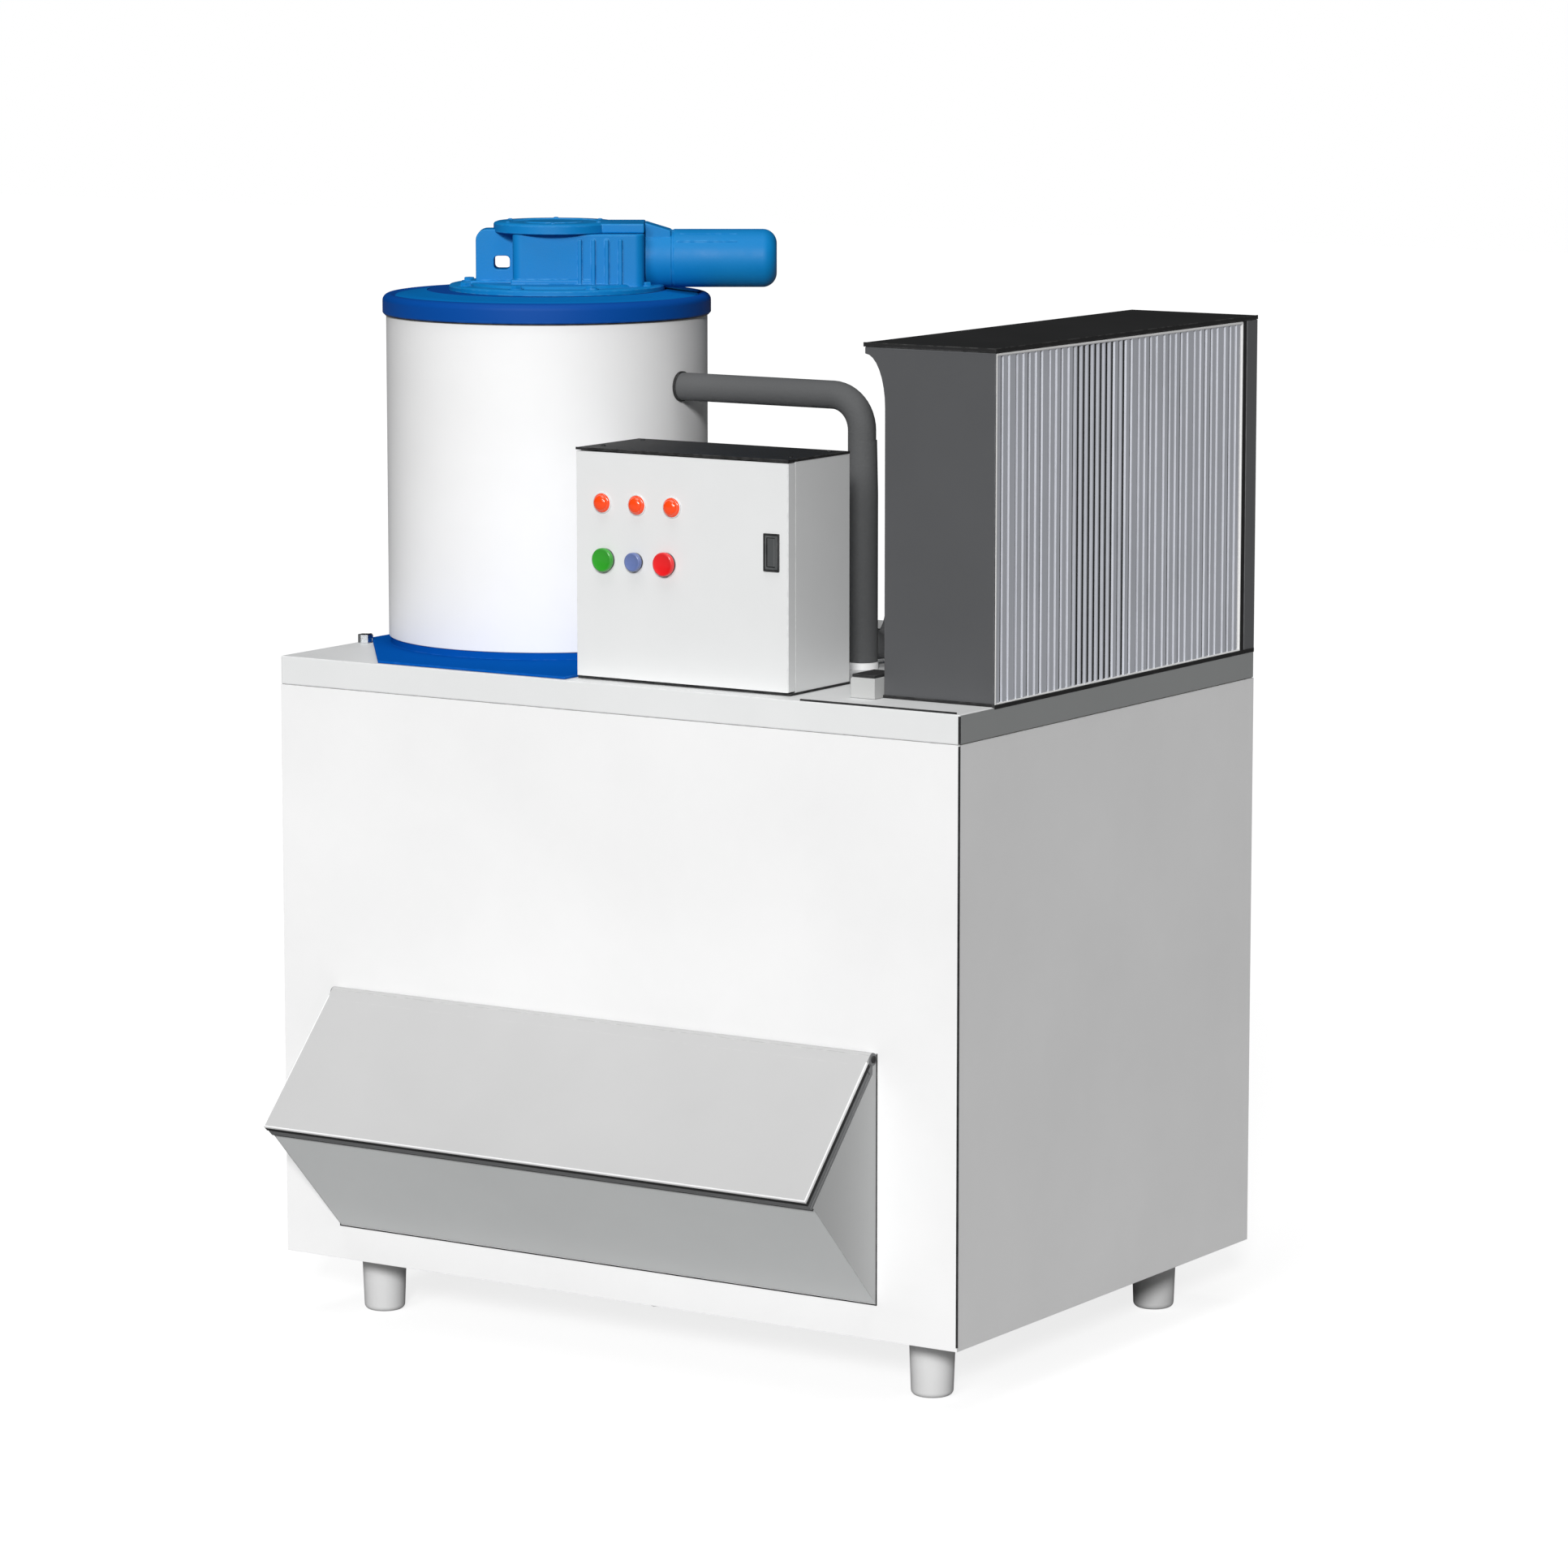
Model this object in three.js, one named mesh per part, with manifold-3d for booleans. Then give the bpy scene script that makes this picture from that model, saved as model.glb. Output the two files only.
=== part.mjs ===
// Flake ice maker: an insulated storage bin with a front hopper, and on its deck
// the ice drum with its geared motor, the control box and the condensing unit.
// Millimetres, +X to the right, -Y to the front, +Z up. The origin is on the
// floor, in the middle of the machine's footprint, hopper included.

import * as THREE from 'three';
import { mergeVertices } from 'three/addons/utils/BufferGeometryUtils.js';
import Module from 'manifold-3d';

const wasm = await Module();
wasm.setup();

// Shared values
const GAP = 0.3;                    // between pieces that rest on each other
const RUNNING = 0.6;                // round a piece that turns or slides
const OVERRUN = 4;                  // how far a cutting body passes the surface it cuts
const MERGE = 1e-3;                 // corners nearer than this are one corner

// Storage bin
const BIN_WIDTH = 1000;
const BIN_DEPTH = 720;
const BIN_HEIGHT = 730;
const SHELL_SHEET = 1.5;
const LINER_SHEET = 1.5;
const FOAM_WALL = 45;
const LINER_FALL = 50;              // how much the liner floor falls to the front
const LINER_EDGE_BAND = 3;          // foam left above the liner's rim
const THROAT_BOTTOM = 78;           // heights above the bin's underside
const THROAT_TOP = 306;
const THROAT_FRAME = 2.5;

// Legs
const LEG_HEIGHT = 82;
const LEG_TOP_RADIUS = 29;
const LEG_FOOT_RADIUS = 26;
const LEG_FOOT_ROUND = 7;
const LEG_FLANGE_RADIUS = 38;
const LEG_FLANGE = 4;
const LEG_INSET = 88;

// Drain
const DRAIN_BORE_RADIUS = 12;
const DRAIN_WALL = 3;
const DRAIN_STUB = 28;
const DRAIN_FLANGE_RADIUS = 24;
const DRAIN_FLANGE = 3;
const DRAIN_FROM_FRONT = 110;

// Ice hopper on the front
const HOPPER_LEFT = 86;             // from the bin's left side
const HOPPER_WIDTH = 800;
const HOPPER_REACH = 158;
const HOPPER_BOTTOM = 44;           // heights above the bin's underside
const HOPPER_NOSE = 199;
const HOPPER_TOP = 352.5;
const CHEEK_WALL = 20;
const TROUGH_WALL = 24;
const HEADER_DEPTH = 8;
const HEADER_HEIGHT = 16;

// Hopper lid and its hinge
const LID_THICKNESS = 16;
const LID_PANEL_GAP = 1;            // between the lid's rolled edge and the bin front
const LID_NOSE_OVERHANG = 4;
const LID_HEM = 4;
const LID_HEM_RISE = 1.2;
const GASKET_THICKNESS = 4;
const GASKET_WIDTH = 10;
const GASKET_INSET = 5;
const GASKET_FROM_HINGE = 26;
const HINGE_ROD_RADIUS = 3.5;
const EAR_WIDTH = 12;
const EAR_NOTCH_REACH = 15;

// Deck
const DECK_THICKNESS = 36;
const DROP_STEP = 3.9;              // the deck's hole is this much inside the ice surface

// Layout of the deck: the drum left, the condensing unit right, the rest between them
const DRUM_LEFT_MARGIN = 5;
const DRUM_RADIUS_SHARE = 0.204;    // of the bin's width
const DRUM_RADIUS = BIN_WIDTH * DRUM_RADIUS_SHARE;
const DRUM_X = DRUM_LEFT_MARGIN + DRUM_RADIUS;
const DRUM_Y = 290;
const CONDENSER_WIDTH = 153;
const CONDENSER_X = BIN_WIDTH - CONDENSER_WIDTH;
const CONDENSER_Y = 78;
const CONTROL_FROM_DRUM = 24.5;
const CONTROL_FROM_CONDENSER = 101.5;
const CONTROL_X = DRUM_X + DRUM_RADIUS + CONTROL_FROM_DRUM;
const CONTROL_Y = 24;
const PIPE_FROM_CONDENSER = 165;
const PIPE_X = CONDENSER_X - PIPE_FROM_CONDENSER;
const RECEIVER_SIDE_SHARE = 0.642;  // of the drum's radius, to the right of its axis
const RECEIVER_X = DRUM_X + DRUM_RADIUS * RECEIVER_SIDE_SHARE;
const BEHIND_DRUM = 66;
const RECEIVER_Y = DRUM_Y + DRUM_RADIUS + BEHIND_DRUM;
const DISCHARGE_FROM_CONDENSER = 33;
const DISCHARGE_TURN_X = CONDENSER_X - DISCHARGE_FROM_CONDENSER;

// Drum
const DRUM_SHEET = 1.5;
const DRUM_INSULATION = 30;
const DRUM_TOP = 434;
const EVAPORATOR_WALL = 20;
const EVAPORATOR_SHORT = 38;        // how far it ends below the drum's top
const EVAPORATOR_TOP = DRUM_TOP - EVAPORATOR_SHORT;
const BASE_THICKNESS = 3;
const PLINTH_HEIGHT = 9;            // raised round seat under the drum
const PLINTH_INSET = 2;             // its edge, inside the drum's skin
const BASE_FRONT = 6;               // base plate's front edge, from the deck's front edge
const BASE_MARGIN = 3;              // base plate round the drum
const BASE_FROM_CONTROL = 5.5;
const BASE_RIGHT = CONTROL_X - BASE_FROM_CONTROL;
const BASE_FRONT_LEFT = 148;        // where its straight front edge starts
const BASE_CORNER_Y = 190;          // where its slanted corner meets the left side

// Drum cap
const CAP_OVERHANG = 4.5;
const CAP_RADIUS = DRUM_RADIUS + CAP_OVERHANG;
const CAP_LIP_DROP = 15;
const CAP_LIP_BOTTOM = DRUM_TOP - CAP_LIP_DROP;
const CAP_LIP_RISE = 10;
const CAP_LIP_TOP = DRUM_TOP + CAP_LIP_RISE;
const CAP_SHEET = 3;
const CAP_ROUND = 8;
const CAP_CROWN_RISE = 18;
const CAP_CROWN = DRUM_TOP + CAP_CROWN_RISE;

// Geared motor, heights above the deck, places from the drum's axis
const GEAR_HEADING = 33 * Math.PI / 180;    // the motor points to the right and back
const FLANGE_RADIUS = 137;
const FLANGE_OFFSET = 13;
const FLANGE_THICKNESS = 7;
const FLANGE_BOLTS = 8;
const BOLT_HEAD_RADIUS = 7;
const BOLT_HEAD_HEIGHT = 5;
const BOLT_EDGE = 14;
const GEAR_BACK = 41;
const GEAR_REACH = 125;
const GEAR_HALF_WIDTH = 62;
const GEAR_CORNER = 26;
const GEAR_RISE = 73;
const GEAR_TOP = CAP_CROWN + GEAR_RISE;
const GEAR_RIB_COUNT = 5;
const GEAR_RIB_FIRST = 44;
const GEAR_RIB_PITCH = 17;
const GEAR_RIB_WIDTH = 5;
const GEAR_RIB_DEPTH = 5;
const GEAR_RIB_TOP_GAP = 6;
const COVER_RADIUS = 77;
const COVER_OFFSET = 10;
const COVER_THICKNESS = 9;
const COVER_HALF_WIDTH = 46;
const COVER_SLOPE = 30;
const COVER_CHAMFER = 3;
const LUG_REACH = 89;
const LUG_THICKNESS = 40;
const LUG_ROUND = 18;
const EYE_WIDTH = 20;
const EYE_HEIGHT = 17;
const EYE_FROM_EDGE = 23;
const EYE_RISE = 35;
const EYE_CENTRE = CAP_CROWN + EYE_RISE;
const EYE_ROUND = 5;
const MOTOR_RADIUS = 35;
const MOTOR_END = 292;
const MOTOR_RISE = 38;
const MOTOR_AXIS = CAP_CROWN + MOTOR_RISE;
const MOTOR_END_ROUND = 20;
const MOTOR_NECK_HALF_WIDTH = 24;

// Inside the drum
const SHAFT_RADIUS = 20;
const SHAFT_LIFT = 2;
const SHAFT_SOCKET = 30;            // how far the shaft goes up into the gear housing
const HUB_RADIUS = 34;
const SPIDER_HEIGHT = 20;
const SPIDER_ARM_WIDTH = 16;
const SPIDER_ARMS = 3;
const SPIDER_RIM = 10;
const GUTTER_WIDTH = 24;
const GUTTER_WALL = 2;
const GUTTER_DEPTH = 16;
const BLADE_RADIUS = 20;
const BLADE_CLEARANCE = 4;          // between the blade and the ice surface
const BLADE_BOTTOM = 75;
const BLADE_SHORT = 84;             // how far the blade ends below the drum's top
const BLADE_TOP = DRUM_TOP - BLADE_SHORT;
const BLADE_TEETH = 6;
const BLADE_TOOTH_DEPTH_SHARE = 0.72;
const BLADE_TWIST = Math.PI;
const BLADE_STEPS = 16;
const BLADE_ARM_HEIGHT = 22;
const BLADE_ARM_WIDTH = 26;
const PAN_RADIUS = 82;
const PAN_HEIGHT = 24;
const PAN_WALL = 3;
const PAN_SPOUTS = 3;
const SPOUT_RADIUS = 7;
const SPOUT_SHORT = 13.9;           // between a spout's end and the ice surface

// Control box
const CONTROL_WIDTH = CONDENSER_X - CONTROL_FROM_CONDENSER - CONTROL_X;
const CONTROL_DEPTH = 137;
const CONTROL_HEIGHT = 284;
const CONTROL_SHEET = 2;
const CONTROL_FLANGE = 14;
const CONTROL_TOP_THICKNESS = 3;
const DOOR_THICKNESS = 16;
const DOOR_SHEET = 2;
const DOOR_EDGE = 1;                // the door stands this far inside the box's outline
const DOOR_BOTTOM = 4.2;            // high enough to pass over the drum's base plate
const DOOR_HEEL_RELIEF = 2;         // taken off behind the hinge rod so the door can turn
const DOOR_ROD_RADIUS = 3;
const DOOR_ROD_INSET = 6;
const DOOR_EYE_RADIUS = 5;
const DOOR_EYE_HEIGHT = 24;
const DOOR_EYE_FROM_END = 34;
const DOOR_RELIEF = 1.2;
const LAMP_HEIGHT = 218;
const LAMP_X = 39;
const LAMP_PITCH = 51;
const LAMP_COUNT = 3;
const LAMP_RADIUS = 11.5;
const LAMP_RISE = 8;
const LAMP_STEPS = 3;
const LAMP_STEM_RADIUS = 8;
const LAMP_STEM = 22;
const BUTTON_HEIGHT = 149;
const BUTTON_X = 43;
const BUTTON_PITCH = 44.6;
const BUTTON_COUNT = 3;
const BUTTON_RADIUS = 15.5;
const SMALL_BUTTON_RADIUS = 12.5;
const BUTTON_RISE = 9;
const BUTTON_HEAD = 6;
const BUTTON_STEM_RADIUS = 8;
const BUTTON_STEM = 24;
const BUTTON_EDGE = 2;
const LATCH_FROM_RIGHT = 34;
const LATCH_X = CONTROL_WIDTH - LATCH_FROM_RIGHT;
const LATCH_BOTTOM = 149.5;
const LATCH_WIDTH = 22;
const LATCH_HEIGHT = 45.5;
const LATCH_PLATE = 3;
const LATCH_RIM = 2.5;
const LATCH_POCKET = 9;
const LATCH_PIN_RADIUS = 2;
const LATCH_LEAF = 4;
const COMPONENT_PLATE_THICKNESS = 2.5;
const COMPONENT_PLATE_MARGIN = 16;
const COMPONENT_PLATE_STAND = 8;
const CONTACTOR_WIDTH = 62;
const CONTACTOR_DEPTH = 55;
const CONTACTOR_HEIGHT = 76;
const CONTACTOR_X = 60;
const CONTACTOR_Z = 110;
const CONTACTOR_STEP = 14;

// Suction pipe, heights above the deck
const PIPE_RADIUS = 17.5;
const PIPE_HEIGHT = 338;
const PIPE_BEND = 42;
const PIPE_BEND_STEPS = 6;
const PIPE_FOOT_HEIGHT = 25;
const PIPE_REAR_RISE_Y = 378;
const PIPE_PORT_HEIGHT = 120;
const COLLAR_RADIUS = 23;
const COLLAR_LENGTH = 12;

// Block with a rubber pad beside the condenser
const BLOCK_WIDTH = 34;
const BLOCK_DEPTH = 50;
const BLOCK_HEIGHT = 25;
const BLOCK_Y = 57;
const BLOCK_PAD = 3.5;
const BLOCK_CHAMFER = 2;

// Compressor
const COMPRESSOR_Y = 540;
const COMPRESSOR_RADIUS = 92;
const COMPRESSOR_HEIGHT = 270;
const COMPRESSOR_DOME = 46;
const COMPRESSOR_SEAM = 4;
const COMPRESSOR_SEAM_HEIGHT = 10;
const COMPRESSOR_SEAM_Z = 150;
const COMPRESSOR_BASE = 105;
const COMPRESSOR_BASE_THICKNESS = 6;
const COMPRESSOR_STAND = 18;
const COMPRESSOR_PAD_RADIUS = 15;
const COMPRESSOR_PORT_LENGTH = 12;
const COMPRESSOR_DISCHARGE_Z = 205;
const COMPRESSOR_BASE_ROUND = 24;

// Liquid receiver
const RECEIVER_RADIUS = 55;
const RECEIVER_HEIGHT = 220;
const RECEIVER_DOME = 26;
const RECEIVER_SKIRT = 14;
const RECEIVER_SKIRT_EDGE = 3.5;
const RECEIVER_PORT_Z = 170;
const RECEIVER_INLET_Z = 28;

// Copper lines
const LINE_RADIUS = 6;
const LINE_BEND = 24;
const LINE_BEND_STEPS = 4;
const INLET_LINE_FROM_DRUM = 37;
const INLET_LINE_X = DRUM_X + DRUM_RADIUS + INLET_LINE_FROM_DRUM;
const INLET_LINE_BEHIND_PIPE = 34;
const INLET_LINE_Y = PIPE_REAR_RISE_Y + INLET_LINE_BEHIND_PIPE;
const STUB_RADIUS = 9;
const STUB_LENGTH = 10;

// Condensing unit
const CONDENSER_HEIGHT = 424;
const DISCHARGE_BELOW_TOP = 94;
const DISCHARGE_TOP = CONDENSER_HEIGHT - DISCHARGE_BELOW_TOP;
const CONDENSER_SHEET = 2;
const CONDENSER_TOP_THICKNESS = 5;
const FLARE_REACH = 28;
const FLARE_HEIGHT = 72;
const FLARE_LIP = 8;
const FLARE_STEPS = 8;
const REAR_COVER_DEPTH = 27;
const COIL_DEPTH = 60;
const COIL_FRAME_WIDTH = 6;
const COIL_FRAME_DEPTH = 12;
const COIL_REAR_SPACE = 9;          // dark gap between the coil's frame and the rear cover
const FIN_COUNT = 48;
const FIN_THICKNESS = 3;
const FIN_SETBACK = 1.5;
const FIN_CORE = 14;
const FAN_CENTRE_Z = 190;
const FAN_RADIUS = 148;
const FAN_TIP_GAP = 5;
const FAN_RING_DEPTH = 42;
const FAN_RING_WALL = 3;
const FAN_HUB_RADIUS = 42;
const FAN_HUB_X = 8;                 // the hub's left face, from the casing's left side
const FAN_HUB_DEPTH = 30;
const FAN_BLADES = 5;
const FAN_BLADE_CHORD = 84;
const FAN_CORNER_SHARE = 0.92;
const FAN_BORE_SHARE = 0.7;
const FAN_BLADE_THICKNESS = 3;
const FAN_PITCH = 22 * Math.PI / 180;
const FAN_MOTOR_RADIUS = 45;
const FAN_MOTOR_LENGTH = 70;
const FAN_MOTOR_ROUND = 8;
const FAN_SHAFT_RADIUS = 5;
const FAN_BRACKET_WIDTH = 14;
const FAN_BRACKET_THICKNESS = 3;

// Water side
const TANK_X = 40;
const TANK_BEHIND_DRUM = 26;
const TANK_Y = DRUM_Y + DRUM_RADIUS + TANK_BEHIND_DRUM;
const TANK_WIDTH_SHARE = 0.2;       // of the bin's width
const TANK_WIDTH = BIN_WIDTH * TANK_WIDTH_SHARE;
const TANK_DEPTH = 150;
const TANK_HEIGHT = 130;
const TANK_WALL = 3;
const TANK_RIM = 6;
const PUMP_X = 70;
const PUMP_Y = 75;
const PUMP_RADIUS = 34;
const PUMP_HEIGHT = 74;
const PUMP_FLANGE_RADIUS = 46;
const PUMP_FLANGE = 5;
const RISER_RADIUS = 7;
const RISER_BEND = 20;
const RISER_SHORT = 34;             // how far its level run lies below the drum's top
const RISER_TOP = DRUM_TOP - RISER_SHORT;
const PUMP_STEM_RADIUS = 10;
const PUMP_STEM = 70;
const PUMP_IMPELLER_RADIUS = 26;
const PUMP_IMPELLER = 22;
const INLET_X = 13;
const INLET_Y = 160;
const INLET_HEX_RADIUS = 9;
const INLET_HEIGHT = 11;
const INLET_PIPE_RADIUS = 3.5;
const INLET_REACH = 13;

// Facet counts
const FINE = 36;
const ROUND = 20;
const SMALL = 12;
const TINY = 8;
const HEX = 6;
const EDGE_STEPS = 3;
const CORNER_STEPS = 3;
const DOME_STEPS = 4;

// Derived places
const LEFT = -BIN_WIDTH / 2;
const FRONT = HOPPER_REACH - (BIN_DEPTH + HOPPER_REACH) / 2;
const BIN_BOTTOM = LEG_HEIGHT;
const BIN_TOP = BIN_BOTTOM + BIN_HEIGHT;
const DECK_TOP = BIN_TOP + DECK_THICKNESS;

// Materials
const paint = (color, roughness, metalness = 0) =>
  new THREE.MeshStandardMaterial({ color, roughness, metalness });
const whitePanel = paint(0xf4f5f5, 0.35);
const palePanel = paint(0xe6e7e7, 0.4);
const deckPanel = paint(0xdadbdb, 0.4);
const lidPanel = paint(0xd2d4d4, 0.4);
const greyPanel = paint(0xa6a8a8, 0.4);
const steel = paint(0xb9bdc0, 0.3, 0.9);
const foam = paint(0xe8dcae, 0.9);
const rubber = paint(0x1c1c1d, 0.8);
const deepBlue = paint(0x12479c, 0.4);
const brightBlue = paint(0x2380c4, 0.45);
const darkPanel = paint(0x525355, 0.5);
const blackPanel = paint(0x1d1e1f, 0.5);
const pipeFoam = paint(0x4e4f50, 0.85);
const finMetal = paint(0xb4b7be, 0.4, 0.8);
const copper = paint(0xb87348, 0.35, 0.9);
const lampRed = paint(0xe5431c, 0.2);
const buttonGreen = paint(0x35a62c, 0.3);
const buttonBlue = paint(0x6f7fae, 0.3);
const buttonRed = paint(0xee1c1f, 0.3);
const waterPlastic = paint(0x9aa3a8, 0.5);

// A closed geometry as a solid that can be cut and joined
function solid(geometry) {
  const bare = new THREE.BufferGeometry();
  bare.setAttribute('position', geometry.getAttribute('position').clone());
  if (geometry.index) bare.setIndex(geometry.index.clone());
  const merged = mergeVertices(bare, MERGE);
  const corners = merged.index.array;
  const places = merged.getAttribute('position');
  const kept = [];
  let volume = 0;
  const [a, b, c] = [new THREE.Vector3(), new THREE.Vector3(), new THREE.Vector3()];
  for (let i = 0; i < corners.length; i += 3) {
    const [p, q, r] = [corners[i], corners[i + 1], corners[i + 2]];
    if (p === q || q === r || r === p) continue;
    kept.push(p, q, r);
    a.fromBufferAttribute(places, p);
    b.fromBufferAttribute(places, q);
    c.fromBufferAttribute(places, r);
    volume += a.dot(b.cross(c));
  }
  if (volume < 0) kept.reverse();
  return new wasm.Manifold(new wasm.Mesh({
    numProp: 3,
    vertProperties: new Float32Array(places.array),
    triVerts: new Uint32Array(kept),
  }));
}

// The solids of a list joined into one
const join = (...bodies) => bodies.reduce((whole, body) => whole.add(body));

// A body with every body of a list taken away
const cut = (body, ...tools) => tools.reduce((rest, tool) => rest.subtract(tool), body);

// A named mesh made of one solid
function piece(name, body, material) {
  const { vertProperties, triVerts } = body.getMesh();
  const geometry = new THREE.BufferGeometry();
  geometry.setAttribute('position', new THREE.BufferAttribute(vertProperties, 3));
  geometry.setIndex(new THREE.BufferAttribute(triVerts, 1));
  geometry.computeVertexNormals();
  const mesh = new THREE.Mesh(geometry, material);
  mesh.name = name;
  return mesh;
}

// A group at a place, holding the meshes of one sub-assembly
function assembly(x, y, z, ...children) {
  const group = new THREE.Group();
  group.position.set(x, y, z);
  group.add(...children);
  return group;
}

// A block between two corners
function block(x0, x1, y0, y1, z0, z1) {
  const geometry = new THREE.BoxGeometry(x1 - x0, y1 - y0, z1 - z0);
  return solid(geometry.translate((x0 + x1) / 2, (y0 + y1) / 2, (z0 + z1) / 2));
}

// An upright round bar or cone at x, y
function upright(x, y, radius, z0, z1, sides, topRadius = radius) {
  const geometry = new THREE.CylinderGeometry(topRadius, radius, z1 - z0, sides);
  return solid(geometry.rotateX(Math.PI / 2).translate(x, y, (z0 + z1) / 2));
}

// A round bar along +X from x0 to x1
function barX(y, z, radius, x0, x1, sides) {
  const geometry = new THREE.CylinderGeometry(radius, radius, x1 - x0, sides);
  return solid(geometry.rotateZ(-Math.PI / 2).translate((x0 + x1) / 2, y, z));
}

// A round bar along +Y from y0 to y1
function barY(x, z, radius, y0, y1, sides) {
  const geometry = new THREE.CylinderGeometry(radius, radius, y1 - y0, sides);
  return solid(geometry.translate(x, (y0 + y1) / 2, z));
}

// A closed profile of [radius, height] pairs turned about the upright axis
function turned(profile, sides) {
  const points = profile.map(([radius, height]) => new THREE.Vector2(radius, height));
  return solid(new THREE.LatheGeometry(points, sides).rotateX(Math.PI / 2));
}

// A tube with a wall, standing on its axis
const ring = (outer, inner, z0, z1, sides) =>
  turned([[inner, z0], [outer, z0], [outer, z1], [inner, z1], [inner, z0]], sides);

const shapeOf = (points) => new THREE.Shape(points.map(([x, y]) => new THREE.Vector2(x, y)));

const SHARP = { bevelEnabled: false, curveSegments: CORNER_STEPS };

// An outline in plan, raised from z0 to z1
function plate(outline, z0, z1) {
  const shape = outline instanceof THREE.Shape ? outline : shapeOf(outline);
  const geometry = new THREE.ExtrudeGeometry(shape, { depth: z1 - z0, ...SHARP });
  return solid(geometry.translate(0, 0, z0));
}

// A side profile of [y, z] pairs, drawn out along +X
function profileX(outline, x0, x1) {
  const shape = outline instanceof THREE.Shape ? outline : shapeOf(outline);
  const geometry = new THREE.ExtrudeGeometry(shape, { depth: x1 - x0, ...SHARP });
  const turn = new THREE.Matrix4().makeBasis(
    new THREE.Vector3(0, 1, 0), new THREE.Vector3(0, 0, 1), new THREE.Vector3(1, 0, 0));
  return solid(geometry.applyMatrix4(turn).translate(x0, 0, 0));
}

// A front profile of [x, z] pairs, drawn out along +Y
function profileY(outline, y0, y1) {
  const shape = outline instanceof THREE.Shape ? outline : shapeOf(outline);
  const geometry = new THREE.ExtrudeGeometry(shape, { depth: y1 - y0, ...SHARP });
  return solid(geometry.rotateX(Math.PI / 2).translate(0, y1, 0));
}

// A pipe route: straight runs between corner points, with round bends of one radius.
// Its stations are the only places where the pipe gets a ring of corners.
class PipeRoute extends THREE.Curve {
  constructor(corners, bendRadius, bendSteps) {
    super();
    const points = corners.map(([x, y, z]) => new THREE.Vector3(x, y, z));
    this.stations = [];
    this.headings = [];
    points.forEach((point, index) => {
      const isEnd = index === 0 || index === points.length - 1;
      if (isEnd) {
        const [from, to] = index === 0 ? [point, points[1]] : [points[index - 1], point];
        this.stations.push(point);
        this.headings.push(to.clone().sub(from).normalize());
        return;
      }
      const heading = point.clone().sub(points[index - 1]).normalize();
      const leaving = points[index + 1].clone().sub(point).normalize();
      const turn = heading.angleTo(leaving);
      const setback = bendRadius * Math.tan(turn / 2);
      const start = point.clone().addScaledVector(heading, -setback);
      const inward = leaving.clone().addScaledVector(heading, -leaving.dot(heading)).normalize();
      for (let step = 0; step <= bendSteps; step += 1) {
        const angle = turn * step / bendSteps;
        this.stations.push(start.clone()
          .addScaledVector(heading, bendRadius * Math.sin(angle))
          .addScaledVector(inward, bendRadius * (1 - Math.cos(angle))));
        this.headings.push(heading.clone().multiplyScalar(Math.cos(angle))
          .addScaledVector(inward, Math.sin(angle)));
      }
    });
  }

  get steps() {
    return this.stations.length - 1;
  }

  getPoint(t) {
    const place = t * this.steps;
    const index = Math.min(Math.floor(place), this.steps - 1);
    return this.stations[index].clone().lerp(this.stations[index + 1], place - index);
  }

  getPointAt(t) {
    return this.getPoint(t);
  }

  getTangentAt(t) {
    return this.headings[Math.round(t * this.steps)].clone();
  }
}

// A solid pipe along a route
function pipe(corners, radius, bendRadius, sides, bendSteps) {
  const route = new PipeRoute(corners, bendRadius, bendSteps);
  const section = new THREE.Shape();
  for (let side = 0; side < sides; side += 1) {
    const angle = 2 * Math.PI * (side + 0.5) / sides;
    const place = [radius * Math.cos(angle), radius * Math.sin(angle)];
    if (side === 0) section.moveTo(...place);
    else section.lineTo(...place);
  }
  section.closePath();
  return solid(new THREE.ExtrudeGeometry(section, { steps: route.steps, extrudePath: route }));
}

// A quarter round of a turned profile, from one angle to another
function arcPoints(centreRadius, centreHeight, radius, fromAngle, toAngle, steps) {
  const points = [];
  for (let step = 0; step <= steps; step += 1) {
    const angle = fromAngle + (toAngle - fromAngle) * step / steps;
    points.push([centreRadius + radius * Math.cos(angle), centreHeight + radius * Math.sin(angle)]);
  }
  return points;
}

// An outline in plan or profile with every corner rounded alike
function roundedOutline(x0, x1, y0, y1, radius) {
  const shape = new THREE.Shape();
  shape.moveTo(x0 + radius, y0);
  shape.lineTo(x1 - radius, y0);
  shape.absarc(x1 - radius, y0 + radius, radius, -Math.PI / 2, 0, false);
  shape.absarc(x1 - radius, y1 - radius, radius, 0, Math.PI / 2, false);
  shape.absarc(x0 + radius, y1 - radius, radius, Math.PI / 2, Math.PI, false);
  shape.absarc(x0 + radius, y0 + radius, radius, Math.PI, 1.5 * Math.PI, false);
  return shape;
}

// Storage bin, in a frame at its front lower left corner

// Where the liner's outside stands from the bin's outside
const LINER_AT = SHELL_SHEET + GAP + FOAM_WALL + GAP;
const THROAT_DEPTH = LINER_AT + LINER_SHEET;
const THROAT_X0 = HOPPER_LEFT + CHEEK_WALL;
const THROAT_X1 = HOPPER_LEFT + HOPPER_WIDTH - CHEEK_WALL;
const RIM_Z = BIN_HEIGHT - GAP;

// The room that the liner takes, grown by a margin
function linerRoom(margin, top) {
  const front = LINER_AT - margin;
  const back = BIN_DEPTH - LINER_AT + margin;
  const floor = LINER_AT - margin;
  const outline = [[front, floor], [back, floor + LINER_FALL], [back, top], [front, top]];
  return profileX(outline, LINER_AT - margin, BIN_WIDTH - LINER_AT + margin);
}

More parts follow.
